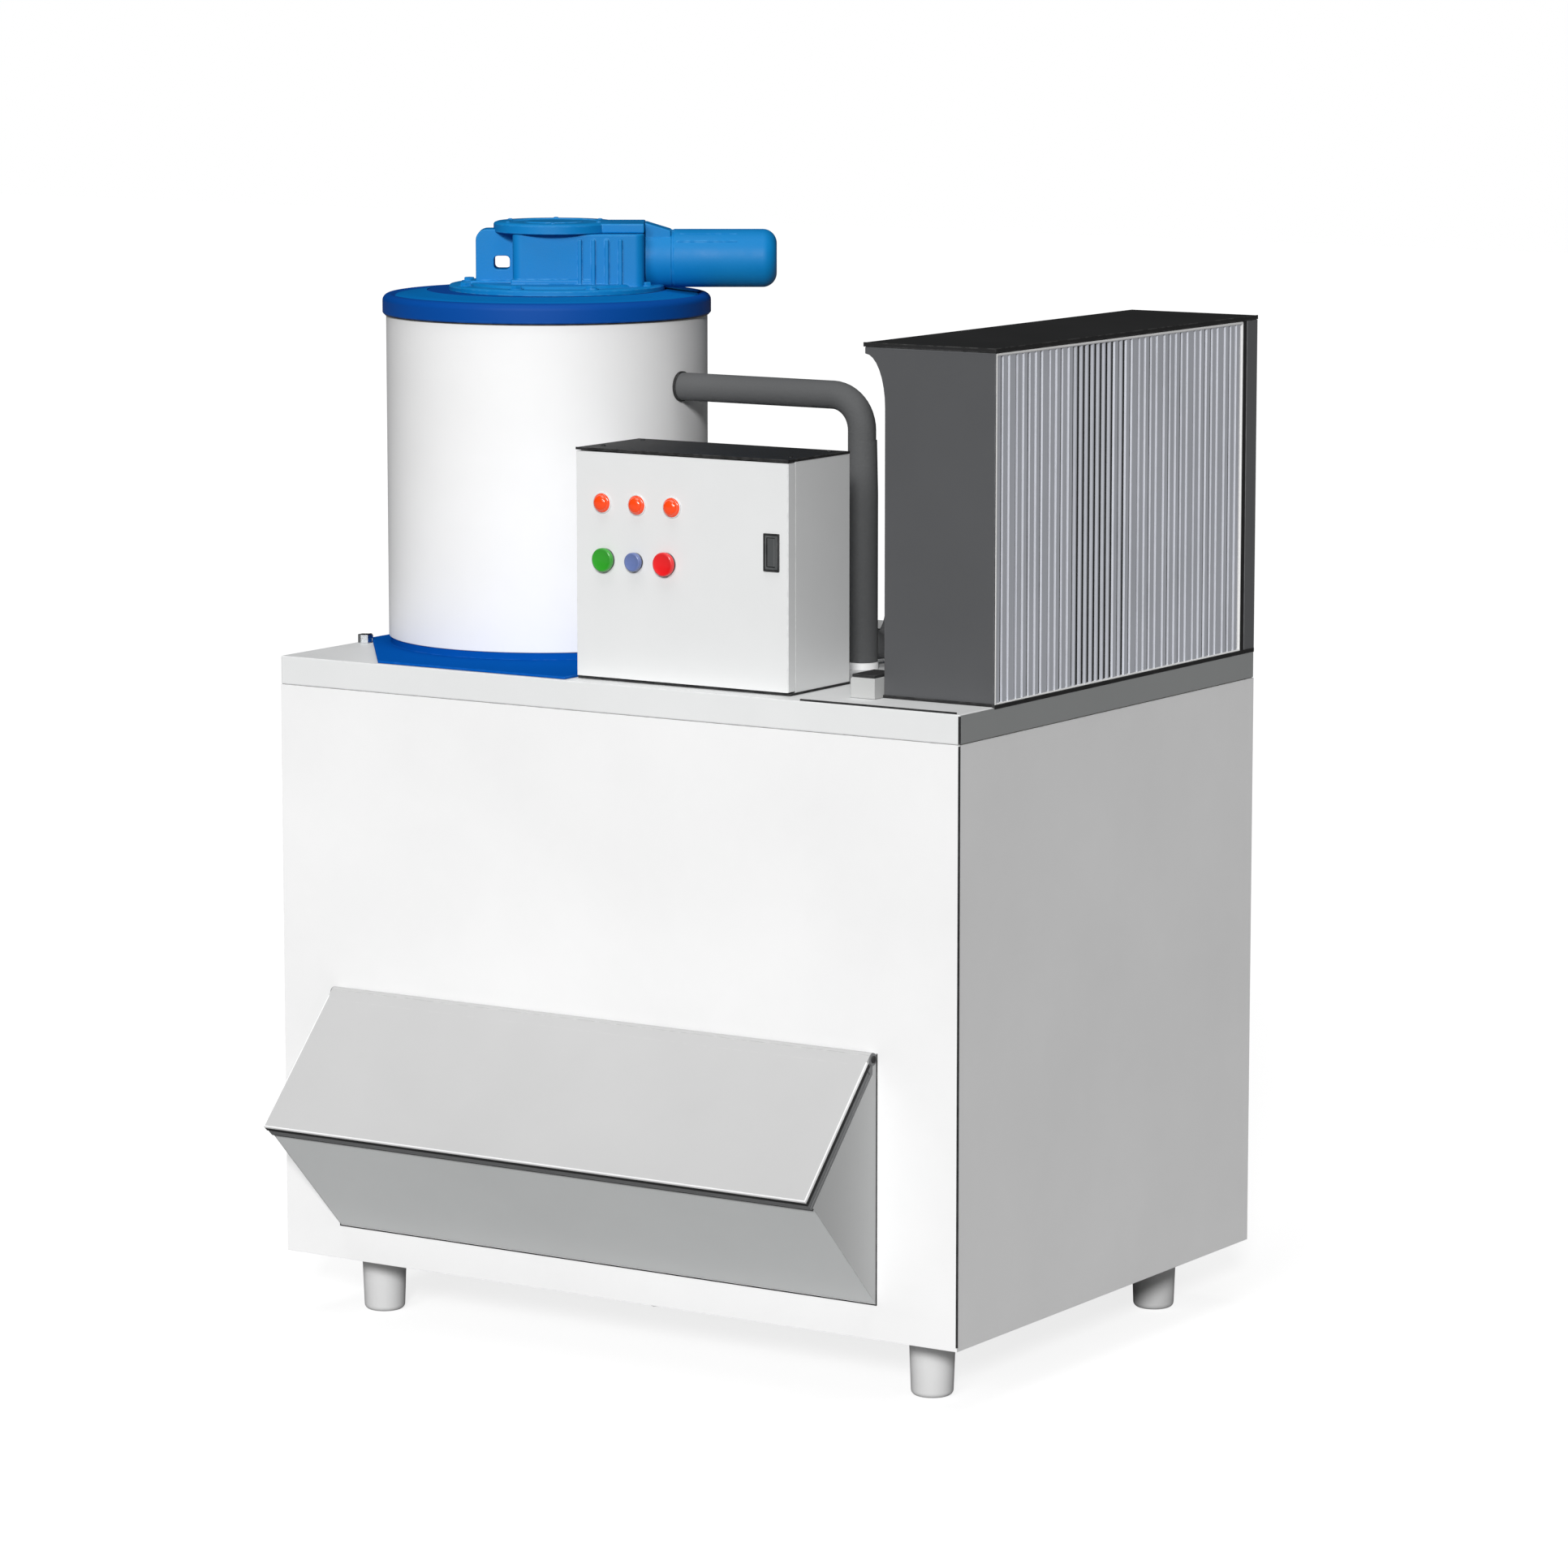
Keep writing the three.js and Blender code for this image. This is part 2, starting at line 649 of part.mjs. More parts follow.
// The cut for the throat frame through the front wall
const throatCut = () => block(
  THROAT_X0 - THROAT_FRAME - GAP, THROAT_X1 + THROAT_FRAME + GAP, -OVERRUN, THROAT_DEPTH + OVERRUN,
  THROAT_BOTTOM - THROAT_FRAME - GAP, THROAT_TOP + THROAT_FRAME + GAP);

const DRAIN_X = BIN_WIDTH / 2;
const DRAIN_RADIUS = DRAIN_BORE_RADIUS + DRAIN_WALL;
const drainCut = () => upright(DRAIN_X, DRAIN_FROM_FRONT, DRAIN_RADIUS + GAP, -OVERRUN,
  LINER_AT + LINER_FALL, SMALL);

function makeShell() {
  const outer = block(0, BIN_WIDTH, 0, BIN_DEPTH, 0, RIM_Z);
  const inner = block(SHELL_SHEET, BIN_WIDTH - SHELL_SHEET, SHELL_SHEET, BIN_DEPTH - SHELL_SHEET,
    SHELL_SHEET, RIM_Z + OVERRUN);
  return piece('bin_outer_shell', cut(outer, inner, throatCut(), drainCut()), whitePanel);
}

function makeFoam() {
  const edge = SHELL_SHEET + GAP;
  const outer = block(edge, BIN_WIDTH - edge, edge, BIN_DEPTH - edge, edge, RIM_Z - LINER_EDGE_BAND);
  return piece('bin_foam', cut(outer, linerRoom(GAP, RIM_Z + OVERRUN), throatCut(), drainCut()), foam);
}

function makeLiner() {
  const body = cut(linerRoom(0, RIM_Z), linerRoom(-LINER_SHEET, RIM_Z + OVERRUN));
  return piece('bin_liner', cut(body, throatCut(), drainCut()), steel);
}

function makeThroatFrame() {
  const outer = block(THROAT_X0 - THROAT_FRAME, THROAT_X1 + THROAT_FRAME, 0, THROAT_DEPTH,
    THROAT_BOTTOM - THROAT_FRAME, THROAT_TOP + THROAT_FRAME);
  const inner = block(THROAT_X0, THROAT_X1, -OVERRUN, THROAT_DEPTH + OVERRUN, THROAT_BOTTOM, THROAT_TOP);
  return piece('throat_frame', cut(outer, inner), palePanel);
}

function makeDrain() {
  const fall = LINER_FALL / (BIN_DEPTH - 2 * LINER_AT);
  const floor = LINER_AT + (DRAIN_FROM_FRONT + DRAIN_FLANGE_RADIUS - LINER_AT) * fall + LINER_SHEET;
  const seat = floor + GAP;
  const profile = [
    [DRAIN_BORE_RADIUS, -DRAIN_STUB], [DRAIN_RADIUS, -DRAIN_STUB], [DRAIN_RADIUS, seat],
    [DRAIN_FLANGE_RADIUS, seat], [DRAIN_FLANGE_RADIUS, seat + DRAIN_FLANGE],
    [DRAIN_BORE_RADIUS, seat + DRAIN_FLANGE], [DRAIN_BORE_RADIUS, -DRAIN_STUB]];
  const mesh = piece('drain_fitting', turned(profile, SMALL), waterPlastic);
  mesh.position.set(DRAIN_X, DRAIN_FROM_FRONT, 0);
  return mesh;
}

function makeLeg(name, x, y) {
  const top = LEG_HEIGHT - GAP;
  const profile = [
    [0, 0],
    ...arcPoints(LEG_FOOT_RADIUS - LEG_FOOT_ROUND, LEG_FOOT_ROUND, LEG_FOOT_ROUND,
      -Math.PI / 2, 0, EDGE_STEPS),
    [LEG_TOP_RADIUS, top - LEG_FLANGE], [LEG_FLANGE_RADIUS, top - LEG_FLANGE],
    [LEG_FLANGE_RADIUS, top], [0, top]];
  const mesh = piece(name, turned(profile, ROUND), greyPanel);
  mesh.position.set(x, y, 0);
  return mesh;
}

function makeLegs() {
  const right = BIN_WIDTH - LEG_INSET;
  const rear = BIN_DEPTH - LEG_INSET;
  return [
    makeLeg('leg_front_left', LEG_INSET, LEG_INSET),
    makeLeg('leg_front_right', right, LEG_INSET),
    makeLeg('leg_rear_left', LEG_INSET, rear),
    makeLeg('leg_rear_right', right, rear)];
}

// Ice hopper, in a frame at its left end on the bin's front, at the bin's underside

const HINGE_Y = -(LID_PANEL_GAP + LID_THICKNESS / 2);
const HINGE_Z = HOPPER_TOP - LID_THICKNESS / 2;
const LID_RUN = HOPPER_REACH + HINGE_Y;
const LID_DROP = HINGE_Z - HOPPER_NOSE;
const LID_LENGTH = Math.sqrt(LID_RUN ** 2 + LID_DROP ** 2 - (LID_THICKNESS / 2) ** 2);
const LID_SLOPE = Math.atan2(LID_DROP, LID_RUN) + Math.atan2(LID_THICKNESS / 2, LID_LENGTH);
const MOUTH_OFFSET = LID_THICKNESS / 2 + GAP + GASKET_THICKNESS + GAP;

// A place under the lid: so far along it from the hinge, so far below its middle plane
function underLid(along, below) {
  return [
    HINGE_Y - along * Math.cos(LID_SLOPE) + below * Math.sin(LID_SLOPE),
    HINGE_Z - along * Math.sin(LID_SLOPE) - below * Math.cos(LID_SLOPE)];
}

const EAR_PLACES = [0, HOPPER_WIDTH - EAR_WIDTH];

function makeTrough() {
  const nose = underLid(LID_LENGTH - LID_NOSE_OVERHANG, MOUTH_OFFSET);
  const reachBack = (HINGE_Y + GAP + MOUTH_OFFSET * Math.sin(LID_SLOPE)) / Math.cos(LID_SLOPE);
  const heel = underLid(reachBack, MOUTH_OFFSET);
  const slope = Math.atan2(nose[1] - HOPPER_BOTTOM, -nose[0]);
  const rise = TROUGH_WALL / Math.cos(slope);
  const body = profileX([[-GAP, HOPPER_BOTTOM], nose, heel], 0, HOPPER_WIDTH);
  const room = profileX(
    [[OVERRUN, HOPPER_BOTTOM + rise], [nose[0], nose[1] + rise], [nose[0], HOPPER_TOP],
      [OVERRUN, HOPPER_TOP]],
    CHEEK_WALL, HOPPER_WIDTH - CHEEK_WALL);
  const headerTop = heel[1];
  const headerBottom = headerTop - HEADER_HEIGHT;
  const headerFront = -GAP - HEADER_DEPTH;
  const header = profileX([
    [-GAP, headerBottom], [headerFront, headerBottom],
    [headerFront, headerTop - HEADER_DEPTH * Math.tan(LID_SLOPE)], [-GAP, headerTop]],
  CHEEK_WALL / 2, HOPPER_WIDTH - CHEEK_WALL / 2);
  const ears = EAR_PLACES.map((x) => join(
    barX(HINGE_Y, HINGE_Z, LID_THICKNESS / 2 - RUNNING, x, x + EAR_WIDTH, SMALL),
    block(x, x + EAR_WIDTH, HINGE_Y, -GAP, headerBottom, HINGE_Z)));
  const bore = barX(HINGE_Y, HINGE_Z, HINGE_ROD_RADIUS + GAP, 0, HOPPER_WIDTH, SMALL);
  return piece('hopper_trough', cut(join(cut(body, room), header, ...ears), bore), greyPanel);
}

function makeHingeRod() {
  const rod = barX(HINGE_Y, HINGE_Z, HINGE_ROD_RADIUS, GAP, HOPPER_WIDTH - GAP, SMALL);
  return piece('lid_hinge_rod', rod, steel);
}

// The lid lies along -Y from its hinge, before its group is turned to the slope
function makeLid() {
  const half = LID_THICKNESS / 2;
  const slab = block(0, HOPPER_WIDTH, -LID_LENGTH, 0, -half, half);
  const roll = barX(0, 0, half, 0, HOPPER_WIDTH, SMALL);
  const field = block(LID_HEM, HOPPER_WIDTH - LID_HEM, -LID_LENGTH + LID_HEM, -EAR_NOTCH_REACH - LID_HEM,
    half - LID_HEM_RISE, half + OVERRUN);
  const notches = EAR_PLACES.map((x) => block(x - RUNNING, x + EAR_WIDTH + RUNNING,
    -EAR_NOTCH_REACH, half + OVERRUN, -half - OVERRUN, half + OVERRUN));
  const bore = barX(0, 0, HINGE_ROD_RADIUS + RUNNING, -OVERRUN, HOPPER_WIDTH + OVERRUN, SMALL);
  return piece('hopper_lid', cut(join(slab, roll), field, bore, ...notches), lidPanel);
}

function makeLidGasket() {
  const top = -LID_THICKNESS / 2 - GAP;
  const nose = -(LID_LENGTH - LID_NOSE_OVERHANG - GASKET_INSET);
  const outer = block(GASKET_INSET, HOPPER_WIDTH - GASKET_INSET, nose, -GASKET_FROM_HINGE,
    top - GASKET_THICKNESS, top);
  const inner = block(GASKET_INSET + GASKET_WIDTH, HOPPER_WIDTH - GASKET_INSET - GASKET_WIDTH,
    nose + GASKET_WIDTH, -GASKET_FROM_HINGE - GASKET_WIDTH, top - GASKET_THICKNESS - OVERRUN, top + OVERRUN);
  return piece('lid_gasket', cut(outer, inner), rubber);
}

function makeHopper() {
  const lid = assembly(0, HINGE_Y, HINGE_Z, makeLid(), makeLidGasket());
  lid.rotation.x = LID_SLOPE;
  return assembly(HOPPER_LEFT, 0, 0, makeTrough(), makeHingeRod(), lid);
}

function makeBin() {
  const cabinet = assembly(0, 0, BIN_BOTTOM, makeShell(), makeFoam(), makeLiner(), makeThroatFrame(),
    makeDrain(), makeHopper());
  return assembly(LEFT, FRONT, 0, cabinet, ...makeLegs());
}

// Drum with its ice maker, in a frame on the drum's axis at the deck's top

const BASE_SEAT = GAP;
const PLINTH_TOP = BASE_SEAT + BASE_THICKNESS + PLINTH_HEIGHT;
const DRUM_FOOT = PLINTH_TOP + GAP;
const SKIN_INSIDE = DRUM_RADIUS - DRUM_SHEET;
const INSULATION_INSIDE = SKIN_INSIDE - GAP - DRUM_INSULATION;
const EVAPORATOR_OUTSIDE = INSULATION_INSIDE - GAP;
const ICE_RADIUS = EVAPORATOR_OUTSIDE - EVAPORATOR_WALL;
const DROP_RADIUS = ICE_RADIUS - DROP_STEP;
const SPOUT_REACH = ICE_RADIUS - SPOUT_SHORT;
const FLANGE_Z = CAP_CROWN + GAP;
const GEAR_FOOT = FLANGE_Z + FLANGE_THICKNESS;
const HUB_WALL = HUB_RADIUS - SHAFT_RADIUS;

// A profile of [radius, x] pairs turned about a level axis along +X at a height
function turnedX(profile, height, sides) {
  const points = profile.map(([radius, along]) => new THREE.Vector2(radius, along));
  return solid(new THREE.LatheGeometry(points, sides).rotateZ(-Math.PI / 2).translate(0, 0, height));
}

// A profile of [radius, y] pairs turned about a level axis along +Y at x, z
function turnedFront(profile, x, z) {
  const points = profile.map(([radius, along]) => new THREE.Vector2(radius, along));
  return solid(new THREE.LatheGeometry(points, ROUND).translate(x, 0, z));
}

// The same body copied round the upright axis
function around(count, makeOne) {
  return Array.from({ length: count }, (_, index) => makeOne(2 * Math.PI * index / count));
}

// A horizontal arm from one radius to another, at an angle
function arm(angle, inner, outer, width, z0, z1) {
  const geometry = new THREE.BoxGeometry(outer - inner, width, z1 - z0);
  return solid(geometry.translate((inner + outer) / 2, 0, (z0 + z1) / 2).rotateZ(angle));
}

function makeEvaporatorBase() {
  const outline = new THREE.Shape();
  const right = BASE_RIGHT - DRUM_X;
  const front = BASE_FRONT - DRUM_Y;
  const round = DRUM_RADIUS + BASE_MARGIN;
  outline.moveTo(BASE_FRONT_LEFT - DRUM_X, front);
  outline.lineTo(right, front);
  outline.lineTo(right, 0);
  for (let step = 0; step <= FINE / 2; step += 1) {
    const angle = 2 * Math.PI * step / FINE;
    outline.lineTo(round * Math.cos(angle), round * Math.sin(angle));
  }
  outline.lineTo(-round, BASE_CORNER_Y - DRUM_Y);
  const hole = upright(0, 0, DROP_RADIUS, -OVERRUN, PLINTH_TOP + OVERRUN, FINE);
  const sheet = plate(outline, BASE_SEAT, BASE_SEAT + BASE_THICKNESS);
  const foot = BASE_SEAT + BASE_THICKNESS - MERGE;
  const plinth = upright(0, 0, DRUM_RADIUS - PLINTH_INSET, foot, PLINTH_TOP, FINE);
  return piece('evaporator_base', cut(join(sheet, plinth), hole), deepBlue);
}

const makeDrumSkin = () =>
  piece('drum_skin', ring(DRUM_RADIUS, SKIN_INSIDE, DRUM_FOOT, DRUM_TOP, FINE), whitePanel);

const makeDrumInsulation = () =>
  piece('drum_insulation', ring(SKIN_INSIDE - GAP, INSULATION_INSIDE, DRUM_FOOT, DRUM_TOP, FINE), foam);

const makeEvaporator = () =>
  piece('evaporator_cylinder', ring(EVAPORATOR_OUTSIDE, ICE_RADIUS, DRUM_FOOT, EVAPORATOR_TOP, FINE), steel);

function makeDrumCap() {
  const lipInside = DRUM_RADIUS + GAP;
  const bore = SHAFT_RADIUS + RUNNING;
  const shoulder = CAP_RADIUS - CAP_ROUND;
  const crown = FLANGE_RADIUS + FLANGE_OFFSET;
  const profile = [
    [lipInside, CAP_LIP_BOTTOM], [CAP_RADIUS, CAP_LIP_BOTTOM],
    ...arcPoints(shoulder, CAP_LIP_TOP - CAP_ROUND, CAP_ROUND, 0, Math.PI / 2, EDGE_STEPS),
    [crown, CAP_CROWN], [bore, CAP_CROWN], [bore, CAP_CROWN - CAP_SHEET],
    [crown, CAP_CROWN - CAP_SHEET], [lipInside, DRUM_TOP + GAP], [lipInside, CAP_LIP_BOTTOM]];
  return piece('drum_cap', turned(profile, FINE), deepBlue);
}

function makeLowerSpider() {
  const top = DRUM_FOOT + SPIDER_HEIGHT;
  const rim = ring(ICE_RADIUS - GAP, ICE_RADIUS - GAP - SPIDER_RIM, DRUM_FOOT, top, FINE);
  const hub = ring(HUB_RADIUS, SHAFT_RADIUS + RUNNING, DRUM_FOOT, top, ROUND);
  const arms = around(SPIDER_ARMS, (angle) => arm(angle, HUB_RADIUS - HUB_WALL / 2,
    ICE_RADIUS - SPIDER_RIM, SPIDER_ARM_WIDTH, DRUM_FOOT, top));
  return piece('lower_spider', join(rim, hub, ...arms), steel);
}

function makeWaterGutter() {
  const outside = ICE_RADIUS - GAP;
  const inside = outside - GUTTER_WIDTH;
  const z0 = DRUM_FOOT + SPIDER_HEIGHT + GAP;
  const z1 = z0 + GUTTER_DEPTH;
  const profile = [
    [inside, z0], [outside, z0], [outside, z1], [outside - GUTTER_WALL, z1],
    [outside - GUTTER_WALL, z0 + GUTTER_WALL], [inside + GUTTER_WALL, z0 + GUTTER_WALL],
    [inside + GUTTER_WALL, z1], [inside, z1], [inside, z0]];
  return piece('water_gutter', turned(profile, FINE), waterPlastic);
}

const makeMainShaft = () => piece('main_shaft',
  upright(0, 0, SHAFT_RADIUS, DRUM_FOOT + SHAFT_LIFT, GEAR_FOOT + SHAFT_SOCKET, ROUND), steel);

// A toothed roller with twisted teeth that peels the ice, on two arms from the shaft
function makeIceBlade() {
  const place = ICE_RADIUS - BLADE_CLEARANCE - BLADE_RADIUS;
  const root = BLADE_RADIUS * BLADE_TOOTH_DEPTH_SHARE;
  const section = [];
  for (let tooth = 0; tooth < BLADE_TEETH; tooth += 1) {
    const angle = 2 * Math.PI * tooth / BLADE_TEETH;
    const valley = angle + Math.PI / BLADE_TEETH;
    section.push([BLADE_RADIUS * Math.cos(angle), BLADE_RADIUS * Math.sin(angle)]);
    section.push([root * Math.cos(valley), root * Math.sin(valley)]);
  }
  const height = BLADE_TOP - BLADE_BOTTOM;
  const geometry = new THREE.ExtrudeGeometry(shapeOf(section),
    { depth: height, steps: BLADE_STEPS, bevelEnabled: false });
  const corners = geometry.getAttribute('position');
  for (let index = 0; index < corners.count; index += 1) {
    const corner = new THREE.Vector3().fromBufferAttribute(corners, index);
    corner.applyAxisAngle(new THREE.Vector3(0, 0, 1), BLADE_TWIST * corner.z / height);
    corners.setXYZ(index, corner.x, corner.y, corner.z);
  }
  const roller = solid(geometry.translate(place, 0, BLADE_BOTTOM));
  const levels = [BLADE_BOTTOM - BLADE_ARM_HEIGHT + OVERRUN, BLADE_TOP - OVERRUN];
  const arms = levels.map((z) => join(
    arm(0, SHAFT_RADIUS + HUB_WALL / 2, place + BLADE_ARM_WIDTH / 2, BLADE_ARM_WIDTH,
      z, z + BLADE_ARM_HEIGHT),
    upright(0, 0, HUB_RADIUS, z, z + BLADE_ARM_HEIGHT, ROUND)));
  const bore = upright(0, 0, SHAFT_RADIUS + GAP, 0, DRUM_TOP, ROUND);
  return piece('ice_blade', cut(join(roller, ...arms), bore), steel);
}

// The pan turns with the shaft and lets water run down the ice surface
function makeWaterPan() {
  const z0 = BLADE_TOP - OVERRUN + BLADE_ARM_HEIGHT + GAP;
  const z1 = z0 + PAN_HEIGHT;
  const bore = SHAFT_RADIUS + GAP;
  const profile = [
    [bore, z0], [PAN_RADIUS, z0], [PAN_RADIUS, z1], [PAN_RADIUS - PAN_WALL, z1],
    [PAN_RADIUS - PAN_WALL, z0 + PAN_WALL], [HUB_RADIUS, z0 + PAN_WALL], [HUB_RADIUS, z1],
    [bore, z1], [bore, z0]];
  const spouts = around(PAN_SPOUTS, (angle) => {
    const level = z0 + SPOUT_RADIUS;
    const outer = new THREE.CylinderGeometry(SPOUT_RADIUS, SPOUT_RADIUS, SPOUT_REACH - PAN_RADIUS, TINY);
    const along = (SPOUT_REACH + PAN_RADIUS) / 2 - PAN_WALL / 2;
    return solid(outer.rotateZ(-Math.PI / 2).translate(along, 0, level).rotateZ(angle));
  });
  return piece('water_pan', join(turned(profile, ROUND), ...spouts), waterPlastic);
}

// Geared motor, turned as a whole to its heading; the motor lies along +X

function makeGearHousing() {
  const flange = upright(FLANGE_OFFSET, 0, FLANGE_RADIUS, FLANGE_Z, GEAR_FOOT, FINE);
  const bolts = around(FLANGE_BOLTS, (angle) => upright(
    FLANGE_OFFSET + (FLANGE_RADIUS - BOLT_EDGE) * Math.cos(angle + Math.PI / FLANGE_BOLTS),
    (FLANGE_RADIUS - BOLT_EDGE) * Math.sin(angle + Math.PI / FLANGE_BOLTS),
    BOLT_HEAD_RADIUS, GEAR_FOOT - FLANGE_THICKNESS / 2, GEAR_FOOT + BOLT_HEAD_HEIGHT, HEX));
  const outline = roundedOutline(-GEAR_BACK, GEAR_REACH, -GEAR_HALF_WIDTH, GEAR_HALF_WIDTH, GEAR_CORNER);
  const body = plate(outline, GEAR_FOOT - FLANGE_THICKNESS / 2, GEAR_TOP);
  const ribs = Array.from({ length: GEAR_RIB_COUNT }, (_, index) => {
    const x = GEAR_RIB_FIRST + index * GEAR_RIB_PITCH - GEAR_RIB_WIDTH / 2;
    const reach = GEAR_HALF_WIDTH + (x + GEAR_RIB_WIDTH < GEAR_REACH - GEAR_CORNER ? GEAR_RIB_DEPTH : 0);
    return block(x, x + GEAR_RIB_WIDTH, -reach, reach, GEAR_FOOT - FLANGE_THICKNESS / 2,
      GEAR_TOP - GEAR_RIB_TOP_GAP);
  });
  const lugShape = new THREE.Shape();
  lugShape.moveTo(-GEAR_BACK + GEAR_CORNER, FLANGE_Z + FLANGE_THICKNESS / 2);
  lugShape.lineTo(-LUG_REACH, FLANGE_Z + FLANGE_THICKNESS / 2);
  lugShape.lineTo(-LUG_REACH, GEAR_TOP - LUG_ROUND);
  lugShape.absarc(-LUG_REACH + LUG_ROUND, GEAR_TOP - LUG_ROUND, LUG_ROUND, Math.PI, Math.PI / 2, true);
  lugShape.lineTo(-GEAR_BACK + GEAR_CORNER, GEAR_TOP);
  const lug = profileY(lugShape, -LUG_THICKNESS / 2, LUG_THICKNESS / 2);
  const eyeLeft = -LUG_REACH + EYE_FROM_EDGE;
  const eye = profileY(roundedOutline(eyeLeft, eyeLeft + EYE_WIDTH, EYE_CENTRE - EYE_HEIGHT / 2,
    EYE_CENTRE + EYE_HEIGHT / 2, EYE_ROUND), -LUG_THICKNESS, LUG_THICKNESS);
  const socketTop = GEAR_FOOT + SHAFT_SOCKET + GAP;
  const socket = upright(0, 0, SHAFT_RADIUS + RUNNING, FLANGE_Z - OVERRUN, socketTop, ROUND);
  const saddle = barX(0, MOTOR_AXIS, MOTOR_RADIUS + RUNNING, GEAR_REACH, GEAR_REACH + FLANGE_RADIUS, ROUND);
  const housing = join(flange, body, lug, ...bolts, ...ribs);
  return piece('gear_housing', cut(housing, eye, socket, saddle), brightBlue);
}

function makeGearCover() {
  const z0 = GEAR_TOP + GAP;
  const z1 = z0 + COVER_THICKNESS;
  const disc = join(
    upright(COVER_OFFSET, 0, COVER_RADIUS, z0, z1 - COVER_CHAMFER, FINE),
    upright(COVER_OFFSET, 0, COVER_RADIUS, z1 - COVER_CHAMFER, z1, FINE, COVER_RADIUS - COVER_CHAMFER));
  const tongue = profileY([[0, z0], [GEAR_REACH, z0], [GEAR_REACH, z1], [0, z1]],
    -COVER_HALF_WIDTH, COVER_HALF_WIDTH);
  return piece('gear_cover', join(disc, tongue), brightBlue);
}

function makeMotor() {
  const start = GEAR_REACH + GAP;
  const shoulder = MOTOR_RADIUS - MOTOR_END_ROUND;
  const profile = [
    [0, start], [MOTOR_RADIUS, start],
    ...arcPoints(shoulder, MOTOR_END - MOTOR_END_ROUND, MOTOR_END_ROUND, 0, Math.PI / 2, DOME_STEPS),
    [0, MOTOR_END]];
  const barrel = turnedX(profile, MOTOR_AXIS, ROUND);
  const neck = profileY([
    [start, MOTOR_AXIS], [start + COVER_SLOPE, MOTOR_AXIS],
    [start + COVER_SLOPE, MOTOR_AXIS + MOTOR_RADIUS], [start, GEAR_TOP + COVER_THICKNESS]],
  -MOTOR_NECK_HALF_WIDTH, MOTOR_NECK_HALF_WIDTH);
  return piece('motor_housing', join(barrel, neck), brightBlue);
}

function makeDrum() {
  const gearMotor = assembly(0, 0, 0, makeGearHousing(), makeGearCover(), makeMotor());
  gearMotor.rotation.z = GEAR_HEADING;
  return assembly(DRUM_X, DRUM_Y, 0, makeEvaporatorBase(), makeDrumSkin(), makeDrumInsulation(),
    makeEvaporator(), makeDrumCap(), makeLowerSpider(), makeWaterGutter(), makeMainShaft(),
    makeIceBlade(), makeWaterPan(), gearMotor);
}

// Control box, in a frame at its front lower left corner

const BODY_FRONT = DOOR_THICKNESS + GAP;
const BODY_TOP = CONTROL_HEIGHT - CONTROL_TOP_THICKNESS;
const ROD_X = DOOR_ROD_INSET;
const ROD_Y = DOOR_THICKNESS / 2;

function makeControlBody() {
  const outer = block(0, CONTROL_WIDTH, BODY_FRONT, CONTROL_DEPTH, GAP, BODY_TOP - GAP);
  const inner = block(CONTROL_SHEET, CONTROL_WIDTH - CONTROL_SHEET, BODY_FRONT + CONTROL_SHEET,
    CONTROL_DEPTH - CONTROL_SHEET, GAP + CONTROL_SHEET, BODY_TOP - GAP - CONTROL_SHEET);
  const mouth = block(CONTROL_FLANGE, CONTROL_WIDTH - CONTROL_FLANGE, 0, CONTROL_DEPTH / 2,
    CONTROL_FLANGE, BODY_TOP - CONTROL_FLANGE);
  const ears = [GAP + DOOR_EYE_FROM_END, BODY_TOP - DOOR_EYE_FROM_END - DOOR_EYE_HEIGHT].map((z) => join(
    upright(ROD_X, ROD_Y, DOOR_EYE_RADIUS, z, z + DOOR_EYE_HEIGHT, SMALL),
    block(ROD_X - DOOR_EYE_RADIUS, ROD_X + DOOR_EYE_RADIUS, ROD_Y, BODY_FRONT + CONTROL_SHEET / 2,
      z, z + DOOR_EYE_HEIGHT)));
  const bore = upright(ROD_X, ROD_Y, DOOR_ROD_RADIUS + GAP, 0, BODY_TOP, SMALL);
  return piece('control_box', cut(join(cut(outer, inner, mouth), ...ears), bore), palePanel);
}

const makeControlTop = () => piece('control_box_top',
  block(0, CONTROL_WIDTH, 0, CONTROL_DEPTH, BODY_TOP, CONTROL_HEIGHT), blackPanel);

const makeDoorRod = () => piece('door_hinge_rod',
  upright(ROD_X, ROD_Y, DOOR_ROD_RADIUS, 2 * GAP, BODY_TOP - 2 * GAP, SMALL), steel);

const inRow = (count, x, pitch, z) => Array.from({ length: count }, (_, index) => [x + index * pitch, z]);
const LAMP_PLACES = inRow(LAMP_COUNT, LAMP_X, LAMP_PITCH, LAMP_HEIGHT);
const BUTTON_PLACES = inRow(BUTTON_COUNT, BUTTON_X, BUTTON_PITCH, BUTTON_HEIGHT);

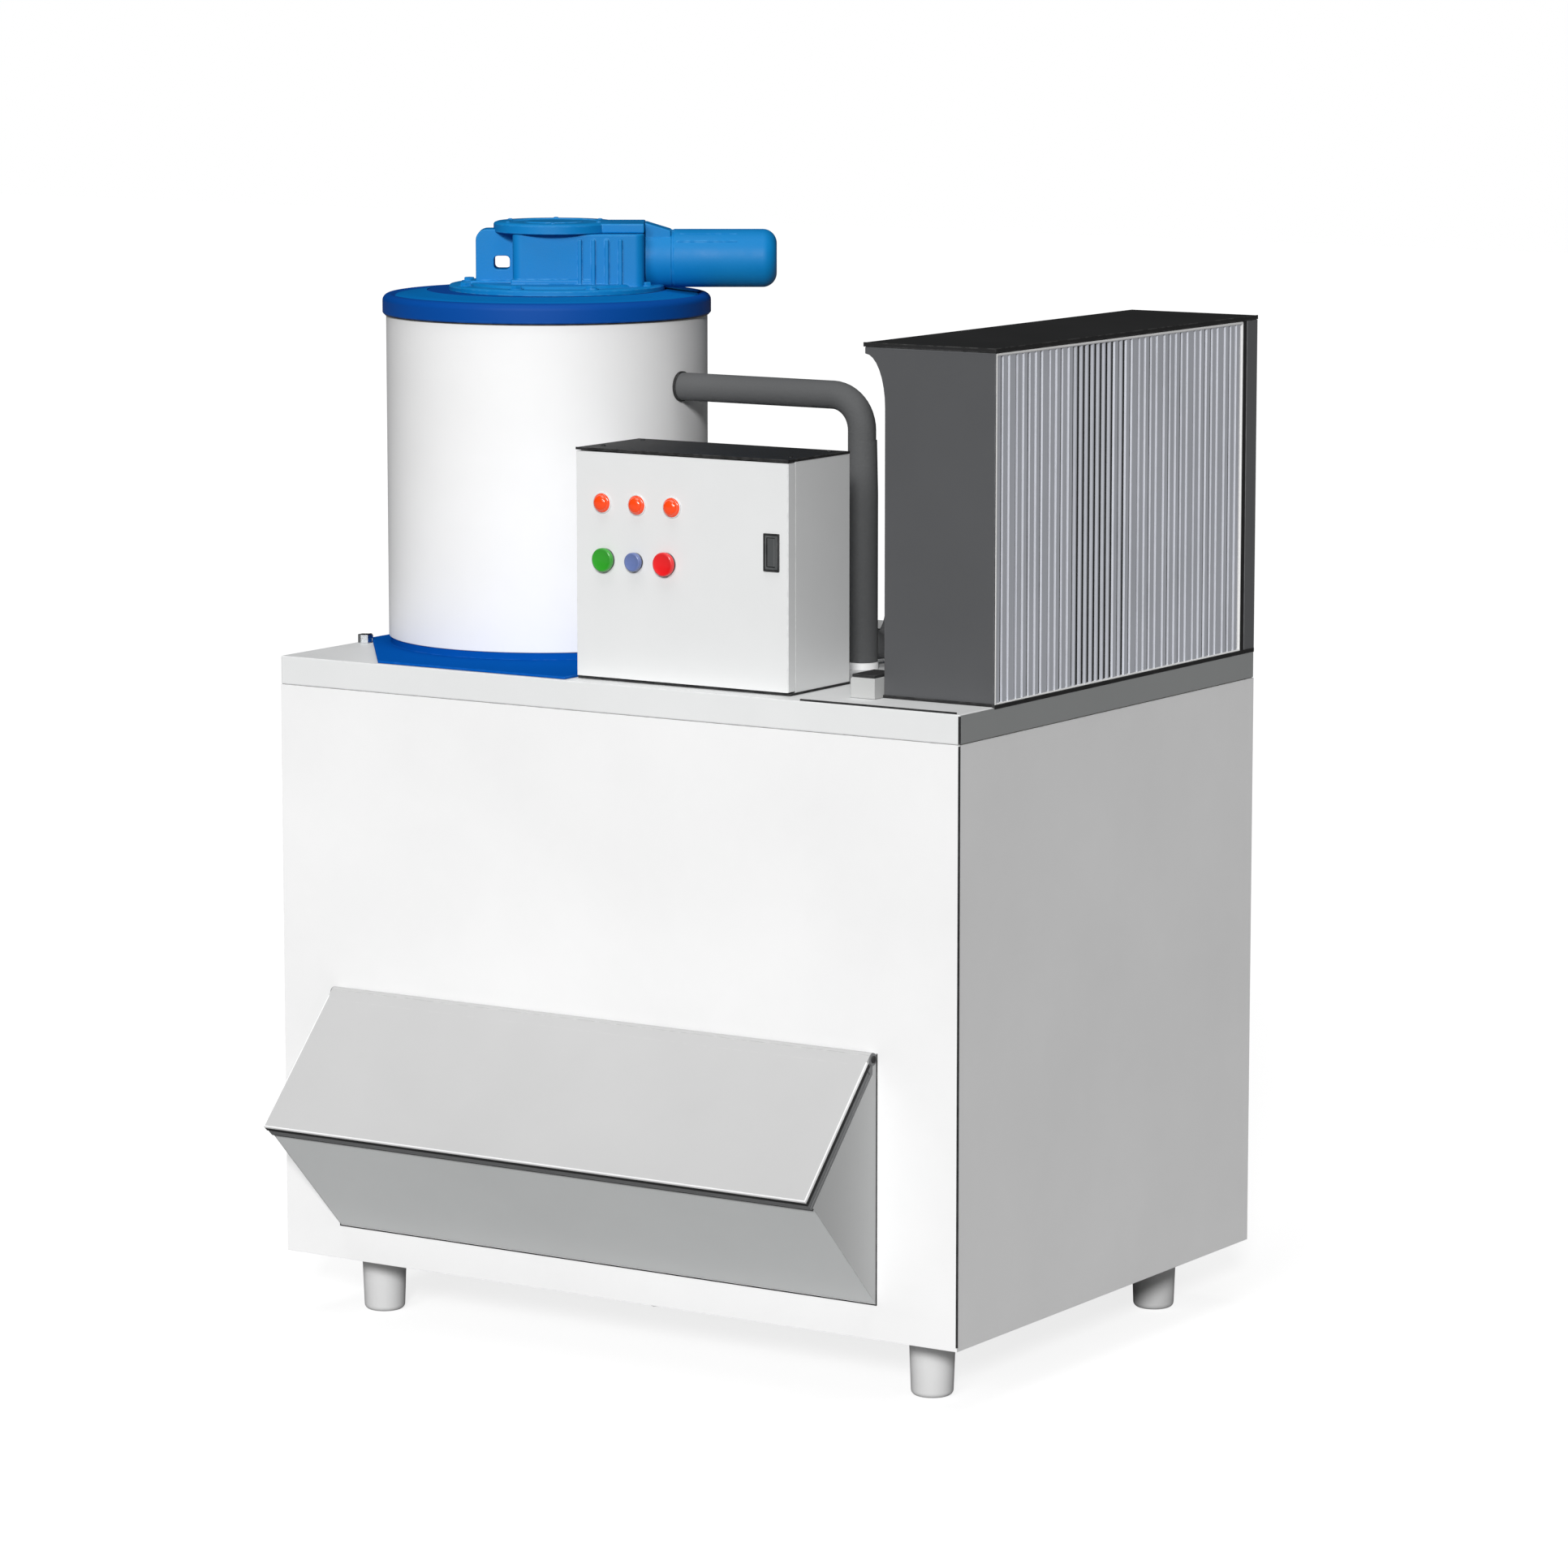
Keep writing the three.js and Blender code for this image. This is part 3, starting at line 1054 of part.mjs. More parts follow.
// A sheet pan, open at the back, with the latch's pocket and holes for lamps and buttons
function makeDoor() {
  const [x0, x1] = [DOOR_EDGE, CONTROL_WIDTH - DOOR_EDGE];
  const [z0, z1] = [DOOR_BOTTOM, BODY_TOP - GAP - DOOR_EDGE];
  const outer = block(x0, x1, 0, DOOR_THICKNESS, z0, z1);
  const heel = block(0, ROD_X, DOOR_THICKNESS - DOOR_HEEL_RELIEF, DOOR_THICKNESS + OVERRUN, 0, BODY_TOP);
  const hollow = block(x0 + 2 * DOOR_ROD_INSET + DOOR_SHEET, x1 - DOOR_SHEET, DOOR_SHEET,
    DOOR_THICKNESS + OVERRUN, z0 + DOOR_SHEET, z1 - DOOR_SHEET);
  const holes = [
    ...LAMP_PLACES.map(([x, z]) => barY(x, z, LAMP_STEM_RADIUS + GAP, -OVERRUN, DOOR_THICKNESS, SMALL)),
    ...BUTTON_PLACES.map(([x, z]) =>
      barY(x, z, BUTTON_STEM_RADIUS + RUNNING, -OVERRUN, DOOR_THICKNESS, SMALL))];
  const window = block(LATCH_X + LATCH_RIM, LATCH_X + LATCH_WIDTH - LATCH_RIM, -OVERRUN,
    DOOR_THICKNESS, LATCH_BOTTOM + LATCH_RIM, LATCH_BOTTOM + LATCH_HEIGHT - LATCH_RIM);
  const relief = DOOR_EYE_RADIUS + DOOR_RELIEF;
  const eyeNotches = [GAP + DOOR_EYE_FROM_END, BODY_TOP - DOOR_EYE_FROM_END - DOOR_EYE_HEIGHT].map((z) =>
    block(0, ROD_X + relief, ROD_Y - relief, DOOR_THICKNESS + OVERRUN, z - GAP, z + DOOR_EYE_HEIGHT + GAP));
  const bore = upright(ROD_X, ROD_Y, DOOR_ROD_RADIUS + RUNNING, 0, BODY_TOP, SMALL);
  return piece('control_door', cut(outer, hollow, window, bore, heel, ...eyeNotches, ...holes), palePanel);
}

const makeLamps = () => LAMP_PLACES.map(([x, z], index) => {
  const dome = turnedFront([
    ...arcPoints(0, 0, 1, -Math.PI / 2, 0, LAMP_STEPS).map(([across, up]) =>
      [LAMP_RADIUS * across, -GAP + (LAMP_RISE - GAP) * up]),
    [LAMP_STEM_RADIUS, -GAP], [LAMP_STEM_RADIUS, LAMP_STEM], [0, LAMP_STEM]], x, z);
  return piece(`lamp_${index + 1}`, dome, lampRed);
});

// A button: its head stands off the door by its travel, its stem passes through
function makeButton(name, [x, z], radius, material) {
  const profile = [
    [0, -BUTTON_RISE], [radius - BUTTON_EDGE, -BUTTON_RISE], [radius, -BUTTON_RISE + BUTTON_EDGE],
    [radius, -BUTTON_RISE + BUTTON_HEAD],
    [BUTTON_STEM_RADIUS, -BUTTON_RISE + BUTTON_HEAD], [BUTTON_STEM_RADIUS, BUTTON_STEM], [0, BUTTON_STEM]];
  return piece(name, turnedFront(profile, x, z), material);
}

const makeButtons = () => [
  makeButton('start_button', BUTTON_PLACES[0], BUTTON_RADIUS, buttonGreen),
  makeButton('reset_button', BUTTON_PLACES[1], SMALL_BUTTON_RADIUS, buttonBlue),
  makeButton('stop_button', BUTTON_PLACES[2], BUTTON_RADIUS, buttonRed)];

// A frame let into the door, open in front, with a floor behind the paddle
function makeLatchFrame() {
  const [x0, x1] = [LATCH_X, LATCH_X + LATCH_WIDTH];
  const [z0, z1] = [LATCH_BOTTOM, LATCH_BOTTOM + LATCH_HEIGHT];
  const rim = block(x0, x1, -GAP - LATCH_PLATE, -GAP, z0, z1);
  const sleeve = block(x0 + LATCH_RIM + GAP, x1 - LATCH_RIM - GAP, -GAP - LATCH_PLATE, LATCH_POCKET,
    z0 + LATCH_RIM + GAP, z1 - LATCH_RIM - GAP);
  const pocket = block(x0 + 2 * LATCH_RIM, x1 - 2 * LATCH_RIM, -GAP - LATCH_PLATE - OVERRUN,
    LATCH_POCKET - DOOR_SHEET, z0 + 2 * LATCH_RIM, z1 - 2 * LATCH_RIM);
  return piece('door_latch_frame', cut(join(rim, sleeve), pocket), blackPanel);
}

// The paddle lies in the frame and swings out on the pin at its right side
function makeLatchPaddle() {
  const pinX = LATCH_X + LATCH_WIDTH - 2 * LATCH_RIM - RUNNING - LATCH_PIN_RADIUS;
  const z0 = LATCH_BOTTOM + 2 * LATCH_RIM + RUNNING;
  const z1 = LATCH_BOTTOM + LATCH_HEIGHT - 2 * LATCH_RIM - RUNNING;
  const front = -GAP - LATCH_PLATE + RUNNING;
  const knuckle = upright(pinX, front + LATCH_PIN_RADIUS, LATCH_PIN_RADIUS, z0, z1, SMALL);
  const leaf = block(LATCH_X + 2 * LATCH_RIM + RUNNING, pinX, front, front + LATCH_LEAF, z0, z1);
  return piece('door_latch_paddle', join(knuckle, leaf), darkPanel);
}

function makeComponentPlate() {
  const back = CONTROL_DEPTH - CONTROL_SHEET - COMPONENT_PLATE_STAND;
  const [x0, x1] = [COMPONENT_PLATE_MARGIN, CONTROL_WIDTH - COMPONENT_PLATE_MARGIN];
  const [z0, z1] = [COMPONENT_PLATE_MARGIN, BODY_TOP - COMPONENT_PLATE_MARGIN];
  const sheet = block(x0, x1, back - COMPONENT_PLATE_THICKNESS, back, z0, z1);
  const posts = [x0 + COMPONENT_PLATE_MARGIN, x1 - COMPONENT_PLATE_MARGIN].flatMap((x) =>
    [z0 + COMPONENT_PLATE_MARGIN, z1 - COMPONENT_PLATE_MARGIN].map((z) =>
      barY(x, z, COMPONENT_PLATE_STAND / 2, back - COMPONENT_PLATE_THICKNESS / 2,
        CONTROL_DEPTH - CONTROL_SHEET - GAP, TINY)));
  return piece('component_plate', join(sheet, ...posts), greyPanel);
}

function makeContactor() {
  const back = CONTROL_DEPTH - CONTROL_SHEET - COMPONENT_PLATE_STAND - COMPONENT_PLATE_THICKNESS - GAP;
  const body = block(CONTACTOR_X, CONTACTOR_X + CONTACTOR_WIDTH, back - CONTACTOR_DEPTH, back,
    CONTACTOR_Z + CONTACTOR_STEP, CONTACTOR_Z + CONTACTOR_HEIGHT - CONTACTOR_STEP);
  const foot = block(CONTACTOR_X, CONTACTOR_X + CONTACTOR_WIDTH, back - CONTACTOR_DEPTH / 2, back,
    CONTACTOR_Z, CONTACTOR_Z + CONTACTOR_HEIGHT);
  return piece('contactor', join(body, foot), palePanel);
}

const makeControlBox = () => assembly(CONTROL_X, CONTROL_Y, 0, makeControlBody(), makeControlTop(),
  makeDoorRod(), makeDoor(), ...makeLamps(), ...makeButtons(), makeLatchFrame(), makeLatchPaddle(),
  makeComponentPlate(), makeContactor());

// Refrigeration lines, compressor and receiver, in the deck's frame

const PIPE_START = DRUM_X + DRUM_RADIUS + GAP;
const PORT_Y = COMPRESSOR_Y - COMPRESSOR_RADIUS - COMPRESSOR_PORT_LENGTH;

const makeSuctionPipe = () => piece('suction_pipe', pipe([
  [PIPE_START + GAP, DRUM_Y, PIPE_HEIGHT], [PIPE_X, DRUM_Y, PIPE_HEIGHT],
  [PIPE_X, DRUM_Y, PIPE_FOOT_HEIGHT], [PIPE_X, PIPE_REAR_RISE_Y, PIPE_FOOT_HEIGHT],
  [PIPE_X, PIPE_REAR_RISE_Y, PIPE_PORT_HEIGHT], [PIPE_X, PORT_Y - GAP, PIPE_PORT_HEIGHT]],
PIPE_RADIUS, PIPE_BEND, SMALL, PIPE_BEND_STEPS), pipeFoam);

const makeSuctionCollar = () => piece('suction_collar', cut(
  barX(DRUM_Y, PIPE_HEIGHT, COLLAR_RADIUS, PIPE_START, PIPE_START + COLLAR_LENGTH, ROUND),
  barX(DRUM_Y, PIPE_HEIGHT, PIPE_RADIUS + RUNNING, PIPE_START - OVERRUN,
    PIPE_START + COLLAR_LENGTH + OVERRUN, ROUND)), pipeFoam);

const BLOCK_X1 = CONDENSER_X - GAP;
const BLOCK_X0 = BLOCK_X1 - BLOCK_WIDTH;
const BLOCK_TOP = GAP + BLOCK_HEIGHT;

function makeSupportBlock() {
  const outline = [
    [BLOCK_X0, GAP], [BLOCK_X1, GAP], [BLOCK_X1, BLOCK_TOP],
    [BLOCK_X0 + BLOCK_CHAMFER, BLOCK_TOP], [BLOCK_X0, BLOCK_TOP - BLOCK_CHAMFER]];
  return piece('support_block', profileY(outline, BLOCK_Y, BLOCK_Y + BLOCK_DEPTH), greyPanel);
}

const makeBlockPad = () => piece('support_block_pad', block(BLOCK_X0 + BLOCK_CHAMFER, BLOCK_X1 - GAP,
  BLOCK_Y, BLOCK_Y + BLOCK_DEPTH, BLOCK_TOP + GAP, BLOCK_TOP + GAP + BLOCK_PAD), rubber);

function makeCompressor() {
  const shoulder = COMPRESSOR_HEIGHT - COMPRESSOR_DOME;
  const dome = arcPoints(0, 0, 1, 0, Math.PI / 2, DOME_STEPS).map(([across, up]) =>
    [COMPRESSOR_RADIUS * across, shoulder + COMPRESSOR_DOME * up]);
  dome[dome.length - 1][0] = 0;
  const wide = COMPRESSOR_RADIUS + COMPRESSOR_SEAM;
  const shell = turned([
    [0, COMPRESSOR_STAND], [COMPRESSOR_RADIUS, COMPRESSOR_STAND], [COMPRESSOR_RADIUS, COMPRESSOR_SEAM_Z],
    [wide, COMPRESSOR_SEAM_Z], [wide, COMPRESSOR_SEAM_Z + COMPRESSOR_SEAM_HEIGHT],
    [COMPRESSOR_RADIUS, COMPRESSOR_SEAM_Z + COMPRESSOR_SEAM_HEIGHT], ...dome], ROUND);
  const foot = COMPRESSOR_BASE;
  const base = plate(roundedOutline(-foot, foot, -foot, foot, COMPRESSOR_BASE_ROUND),
    COMPRESSOR_STAND - COMPRESSOR_BASE_THICKNESS, COMPRESSOR_STAND + MERGE);
  const reach = foot - COMPRESSOR_BASE_ROUND;
  const pads = [-reach, reach].flatMap((x) => [-reach, reach].map((y) =>
    upright(x, y, COMPRESSOR_PAD_RADIUS, GAP, COMPRESSOR_STAND - COMPRESSOR_BASE_THICKNESS / 2, SMALL)));
  const ports = [
    barY(0, PIPE_PORT_HEIGHT, PIPE_RADIUS, -COMPRESSOR_RADIUS - COMPRESSOR_PORT_LENGTH, 0, SMALL),
    barX(0, COMPRESSOR_DISCHARGE_Z, STUB_RADIUS, 0, COMPRESSOR_RADIUS + COMPRESSOR_PORT_LENGTH, SMALL)];
  const mesh = piece('compressor', join(shell, base, ...pads, ...ports), blackPanel);
  mesh.position.set(PIPE_X, COMPRESSOR_Y, 0);
  return mesh;
}

// The receiver's outlet points at the drum's axis
const OUTLET_HEADING = Math.atan2(DRUM_Y - RECEIVER_Y, DRUM_X - RECEIVER_X);
const RECEIVER_TO_AXIS = Math.hypot(DRUM_X - RECEIVER_X, DRUM_Y - RECEIVER_Y);
const STUB_END = RECEIVER_RADIUS + STUB_LENGTH;
const COIL_FACE = BIN_WIDTH - COIL_DEPTH;

function makeReceiver() {
  const shoulder = RECEIVER_HEIGHT - RECEIVER_DOME;
  const dome = arcPoints(0, 0, 1, 0, Math.PI / 2, DOME_STEPS).map(([across, up]) =>
    [RECEIVER_RADIUS * across, shoulder + RECEIVER_DOME * up]);
  dome[dome.length - 1][0] = 0;
  const skirt = RECEIVER_RADIUS + RECEIVER_SKIRT;
  const shell = turned([[0, GAP], [skirt, GAP], [skirt, GAP + RECEIVER_SKIRT_EDGE],
    [RECEIVER_RADIUS, RECEIVER_SKIRT], ...dome], ROUND);
  const outlet = barX(0, RECEIVER_PORT_Z, STUB_RADIUS, 0, STUB_END, SMALL)
    .rotate([0, 0, THREE.MathUtils.radToDeg(OUTLET_HEADING)]);
  const stub = barX(0, RECEIVER_INLET_Z, STUB_RADIUS, 0, STUB_END, SMALL);
  const [lineX, lineY] = [INLET_LINE_X - RECEIVER_X, INLET_LINE_Y - RECEIVER_Y];
  const inlet = pipe([
    [COIL_FACE - GAP - RECEIVER_X, lineY, RECEIVER_INLET_Z], [lineX, lineY, RECEIVER_INLET_Z],
    [lineX, 0, RECEIVER_INLET_Z], [0, 0, RECEIVER_INLET_Z]],
  LINE_RADIUS, LINE_BEND, TINY, LINE_BEND_STEPS);
  const mesh = piece('liquid_receiver', join(shell, outlet, stub, inlet), blackPanel);
  mesh.position.set(RECEIVER_X, RECEIVER_Y, 0);
  return mesh;
}

const copperLine = (name, corners) =>
  piece(name, pipe(corners, LINE_RADIUS, LINE_BEND, TINY, LINE_BEND_STEPS), copper);

const makeDischargeLine = () => copperLine('discharge_line', [
  [PIPE_X + COMPRESSOR_RADIUS + COMPRESSOR_PORT_LENGTH + GAP, COMPRESSOR_Y, COMPRESSOR_DISCHARGE_Z],
  [DISCHARGE_TURN_X, COMPRESSOR_Y, COMPRESSOR_DISCHARGE_Z],
  [DISCHARGE_TURN_X, COMPRESSOR_Y, DISCHARGE_TOP],
  [COIL_FACE - GAP, COMPRESSOR_Y, DISCHARGE_TOP]]);

// The straight line from the receiver into the drum
function makeLiquidLine() {
  const along = (distance) => [
    RECEIVER_X + distance * Math.cos(OUTLET_HEADING),
    RECEIVER_Y + distance * Math.sin(OUTLET_HEADING), RECEIVER_PORT_Z];
  return copperLine('liquid_line', [
    along(STUB_END + GAP), along(RECEIVER_TO_AXIS - DRUM_RADIUS - GAP)]);
}

// Condensing unit, in a frame at its front lower left corner on the deck

const UNIT_WIDTH = CONDENSER_WIDTH;
const UNIT_DEPTH = BIN_DEPTH - CONDENSER_Y;
const UNIT_TOP = CONDENSER_HEIGHT - CONDENSER_TOP_THICKNESS - GAP;
const REAR_COVER_Y = UNIT_DEPTH - REAR_COVER_DEPTH;
const COIL_Y0 = CONDENSER_SHEET + GAP;
const COIL_Y1 = REAR_COVER_Y - COIL_REAR_SPACE;
const COIL_TOP = UNIT_TOP - GAP;
const FAN_CENTRE_Y = (COIL_Y0 + REAR_COVER_Y) / 2;
const RING_RADIUS = FAN_RADIUS + FAN_TIP_GAP;

// The casing's left edge: upright, then curving out to the flared lip
function flaredEdge(inset) {
  const foot = UNIT_TOP - FLARE_HEIGHT;
  const points = [[inset, GAP]];
  for (let step = 0; step <= FLARE_STEPS; step += 1) {
    const angle = Math.PI / 2 * step / FLARE_STEPS;
    points.push([
      inset - FLARE_REACH * (1 - Math.cos(angle)),
      foot + (FLARE_HEIGHT - FLARE_LIP) * Math.sin(angle)]);
  }
  points.push([inset - FLARE_REACH, UNIT_TOP]);
  return points;
}

const casingOutline = () => [...flaredEdge(0), [UNIT_WIDTH, UNIT_TOP], [UNIT_WIDTH, GAP]];

const makeFrontPlate = () =>
  piece('condenser_front_plate', profileY(casingOutline(), 0, CONDENSER_SHEET), darkPanel);

function makeRearCover() {
  const hollow = block(CONDENSER_SHEET, UNIT_WIDTH - CONDENSER_SHEET, REAR_COVER_Y - OVERRUN,
    UNIT_DEPTH - CONDENSER_SHEET, GAP + CONDENSER_SHEET, UNIT_TOP - CONDENSER_SHEET);
  const casing = profileY(casingOutline(), REAR_COVER_Y, UNIT_DEPTH);
  return piece('condenser_rear_cover', cut(casing, hollow), darkPanel);
}

const makeTopPlate = () => piece('condenser_top_plate', block(-FLARE_REACH - CONDENSER_SHEET, UNIT_WIDTH,
  0, UNIT_DEPTH, CONDENSER_HEIGHT - CONDENSER_TOP_THICKNESS, CONDENSER_HEIGHT), blackPanel);

// The left wall of the casing, with the ring that the fan turns in and holes for the lines
function makeFanShroud() {
  const outline = [...flaredEdge(0), ...flaredEdge(CONDENSER_SHEET).reverse()];
  const wall = profileY(outline, COIL_Y0, REAR_COVER_Y - GAP);
  const rim = barX(FAN_CENTRE_Y, FAN_CENTRE_Z, RING_RADIUS + FAN_RING_WALL, MERGE, FAN_RING_DEPTH, FINE);
  const hole = barX(FAN_CENTRE_Y, FAN_CENTRE_Z, RING_RADIUS, -OVERRUN, FAN_RING_DEPTH + OVERRUN, FINE);
  const lineHole = (y, z) =>
    barX(y - CONDENSER_Y, z, LINE_RADIUS + RUNNING, -OVERRUN, 2 * OVERRUN, SMALL);
  return piece('fan_shroud', cut(join(wall, rim), hole, lineHole(COMPRESSOR_Y, DISCHARGE_TOP),
    lineHole(INLET_LINE_Y, RECEIVER_INLET_Z)), darkPanel);
}

function makeCoilFrame() {
  const outer = block(UNIT_WIDTH - COIL_FRAME_DEPTH, UNIT_WIDTH, COIL_Y0, COIL_Y1, GAP, COIL_TOP);
  const inner = block(UNIT_WIDTH - COIL_FRAME_DEPTH - OVERRUN, UNIT_WIDTH + OVERRUN,
    COIL_Y0 + COIL_FRAME_WIDTH, COIL_Y1 - COIL_FRAME_WIDTH,
    GAP + COIL_FRAME_WIDTH, COIL_TOP - COIL_FRAME_WIDTH);
  return piece('coil_frame', cut(outer, inner), palePanel);
}

// Upright fins on both sides of the core that stands for the tube rows
function makeFinPack() {
  const y0 = COIL_Y0 + COIL_FRAME_WIDTH + GAP;
  const y1 = COIL_Y1 - COIL_FRAME_WIDTH - GAP;
  const [inner, outer] = [UNIT_WIDTH - COIL_DEPTH, UNIT_WIDTH - FIN_SETBACK];
  const [coreInner, coreOuter] = [(inner + outer - FIN_CORE) / 2, (inner + outer + FIN_CORE) / 2];
  const pitch = (y1 - y0 - FIN_THICKNESS) / (FIN_COUNT - 1);
  const right = [];
  const left = [];
  for (let fin = 0; fin < FIN_COUNT; fin += 1) {
    const y = y0 + fin * pitch;
    right.push([coreOuter, y], [outer, y], [outer, y + FIN_THICKNESS], [coreOuter, y + FIN_THICKNESS]);
    left.push([coreInner, y], [inner, y], [inner, y + FIN_THICKNESS], [coreInner, y + FIN_THICKNESS]);
  }
  return piece('fin_pack', plate([...right, ...left.reverse()],
    GAP + COIL_FRAME_WIDTH + GAP, COIL_TOP - COIL_FRAME_WIDTH - GAP), finMetal);
}

// The fan turns on its motor's shaft, inside the ring
function makeFanBlades() {
  const hub = barX(FAN_CENTRE_Y, FAN_CENTRE_Z, FAN_HUB_RADIUS, FAN_HUB_X, FAN_HUB_X + FAN_HUB_DEPTH, ROUND);
  const middle = FAN_HUB_X + FAN_HUB_DEPTH / 2;
  const inner = FAN_HUB_RADIUS / 2;
  const blades = around(FAN_BLADES, (angle) => {
    const outline = new THREE.Shape();
    outline.moveTo(inner, -FAN_BLADE_CHORD / 4);
    outline.lineTo(FAN_RADIUS * FAN_CORNER_SHARE, -FAN_BLADE_CHORD / 2);
    outline.quadraticCurveTo(FAN_RADIUS, 0, FAN_RADIUS * FAN_CORNER_SHARE, FAN_BLADE_CHORD / 2);
    outline.lineTo(inner, FAN_BLADE_CHORD / 4);
    const geometry = new THREE.ExtrudeGeometry(outline,
      { depth: FAN_BLADE_THICKNESS, ...SHARP });
    geometry.translate(0, 0, -FAN_BLADE_THICKNESS / 2).rotateX(FAN_PITCH).rotateY(-Math.PI / 2);
    return solid(geometry.rotateX(angle).translate(middle, FAN_CENTRE_Y, FAN_CENTRE_Z));
  });
  const bore = barX(FAN_CENTRE_Y, FAN_CENTRE_Z, FAN_SHAFT_RADIUS + GAP, FAN_HUB_X - OVERRUN,
    FAN_HUB_X + FAN_HUB_DEPTH * FAN_BORE_SHARE, SMALL);
  return piece('fan_blades', cut(join(hub, ...blades), bore), blackPanel);
}

function makeFanMotor() {
  const face = -FAN_BRACKET_THICKNESS - GAP;
  const profile = [
    [0, face - FAN_MOTOR_LENGTH], [FAN_MOTOR_RADIUS - FAN_MOTOR_ROUND, face - FAN_MOTOR_LENGTH],
    [FAN_MOTOR_RADIUS, face - FAN_MOTOR_LENGTH + FAN_MOTOR_ROUND], [FAN_MOTOR_RADIUS, face], [0, face]];
  const points = profile.map(([radius, along]) => new THREE.Vector2(radius, along));
  const can = solid(new THREE.LatheGeometry(points, ROUND).rotateZ(-Math.PI / 2)
    .translate(0, FAN_CENTRE_Y, FAN_CENTRE_Z));
  const half = RING_RADIUS + FAN_BRACKET_WIDTH;
  const strips = [
    block(face, -GAP, FAN_CENTRE_Y - half, FAN_CENTRE_Y + half,
      FAN_CENTRE_Z - FAN_BRACKET_WIDTH / 2, FAN_CENTRE_Z + FAN_BRACKET_WIDTH / 2),
    block(face, -GAP, FAN_CENTRE_Y - FAN_BRACKET_WIDTH / 2, FAN_CENTRE_Y + FAN_BRACKET_WIDTH / 2,
      FAN_CENTRE_Z - half, FAN_CENTRE_Z + RING_RADIUS)];
  const shaft = barX(FAN_CENTRE_Y, FAN_CENTRE_Z, FAN_SHAFT_RADIUS, face - GAP,
    FAN_HUB_X + FAN_HUB_DEPTH / 2, SMALL);
  return piece('fan_motor', join(can, ...strips, shaft), blackPanel);
}

const makeCondensingUnit = () => assembly(CONDENSER_X, CONDENSER_Y, 0, makeFrontPlate(), makeRearCover(),
  makeTopPlate(), makeFanShroud(), makeCoilFrame(), makeFinPack(), makeFanBlades(), makeFanMotor());

// Water side, in the deck's frame

const TANK_TOP = GAP + TANK_HEIGHT;

function makeWaterTank() {
  const outer = block(0, TANK_WIDTH, 0, TANK_DEPTH, GAP, TANK_TOP - TANK_WALL);
  const rim = block(-TANK_RIM, TANK_WIDTH + TANK_RIM, -TANK_RIM, TANK_DEPTH + TANK_RIM,
    TANK_TOP - TANK_WALL, TANK_TOP);
  const hollow = block(TANK_WALL, TANK_WIDTH - TANK_WALL, TANK_WALL, TANK_DEPTH - TANK_WALL,
    GAP + TANK_WALL, TANK_TOP - TANK_WALL);
  const hole = upright(PUMP_X, PUMP_Y, PUMP_RADIUS, TANK_TOP - 2 * TANK_WALL, TANK_TOP + OVERRUN, ROUND);
  const mesh = piece('water_tank', cut(join(outer, rim), hollow, hole), waterPlastic);
  mesh.position.set(TANK_X, TANK_Y, 0);
  return mesh;
}

function makePump() {
  const z0 = TANK_TOP + GAP;
  const profile = [
    [0, z0 - PUMP_STEM - PUMP_IMPELLER], [PUMP_IMPELLER_RADIUS, z0 - PUMP_STEM - PUMP_IMPELLER],
    [PUMP_IMPELLER_RADIUS, z0 - PUMP_STEM], [PUMP_STEM_RADIUS, z0 - PUMP_STEM], [PUMP_STEM_RADIUS, z0],
    [PUMP_FLANGE_RADIUS, z0], [PUMP_FLANGE_RADIUS, z0 + PUMP_FLANGE], [PUMP_RADIUS, z0 + PUMP_FLANGE],
    [PUMP_RADIUS, z0 + PUMP_HEIGHT], [0, z0 + PUMP_HEIGHT]];
  const top = z0 + PUMP_HEIGHT;
  const riser = pipe([
    [0, 0, top - RISER_RADIUS], [0, 0, RISER_TOP], [DRUM_X - TANK_X - PUMP_X, 0, RISER_TOP],
    [DRUM_X - TANK_X - PUMP_X, DRUM_Y + DRUM_RADIUS + GAP - TANK_Y - PUMP_Y, RISER_TOP]],
  RISER_RADIUS, RISER_BEND, TINY, LINE_BEND_STEPS);
  const mesh = piece('circulation_pump', join(turned(profile, ROUND), riser), blackPanel);
  mesh.position.set(TANK_X + PUMP_X, TANK_Y + PUMP_Y, 0);
  return mesh;
}

function makeWaterInlet() {
  const nut = upright(0, 0, INLET_HEX_RADIUS, GAP, INLET_HEIGHT, HEX);
  const elbow = barY(0, INLET_HEIGHT - INLET_PIPE_RADIUS, INLET_PIPE_RADIUS, 0, INLET_REACH, SMALL);
  const mesh = piece('water_inlet_valve', join(nut, elbow), steel);
  mesh.position.set(INLET_X, INLET_Y, 0);
  return mesh;
}

function makeDeckTray() {
  const hole = upright(DRUM_X, DRUM_Y, DROP_RADIUS, -DECK_THICKNESS - OVERRUN, OVERRUN, FINE);
  return piece('deck_tray', cut(block(0, BIN_WIDTH, 0, BIN_DEPTH, -DECK_THICKNESS, 0), hole), deckPanel);
}

const makeDeck = () => assembly(LEFT, FRONT, DECK_TOP, makeDeckTray(), makeDrum(), makeControlBox(),
  makeSuctionPipe(), makeSuctionCollar(), makeSupportBlock(), makeBlockPad(), makeCompressor(),
  makeReceiver(), makeDischargeLine(), makeLiquidLine(), makeCondensingUnit(),
  makeWaterTank(), makePump(), makeWaterInlet());

const iceMaker = assembly(0, 0, 0, makeBin(), makeDeck());

export default iceMaker;
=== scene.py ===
"""A flake ice maker, dressed for its portrait.

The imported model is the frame: it gives every sub-part its place and its body. This script
gives each of them a finish, models again the ones that need rounder edges or finer detail,
and adds the fittings that are too small for the frame: screws, bezels, trims and joints.
Sizes and places are in millimetres, and only the bench turns them into Blender's metres.
"""

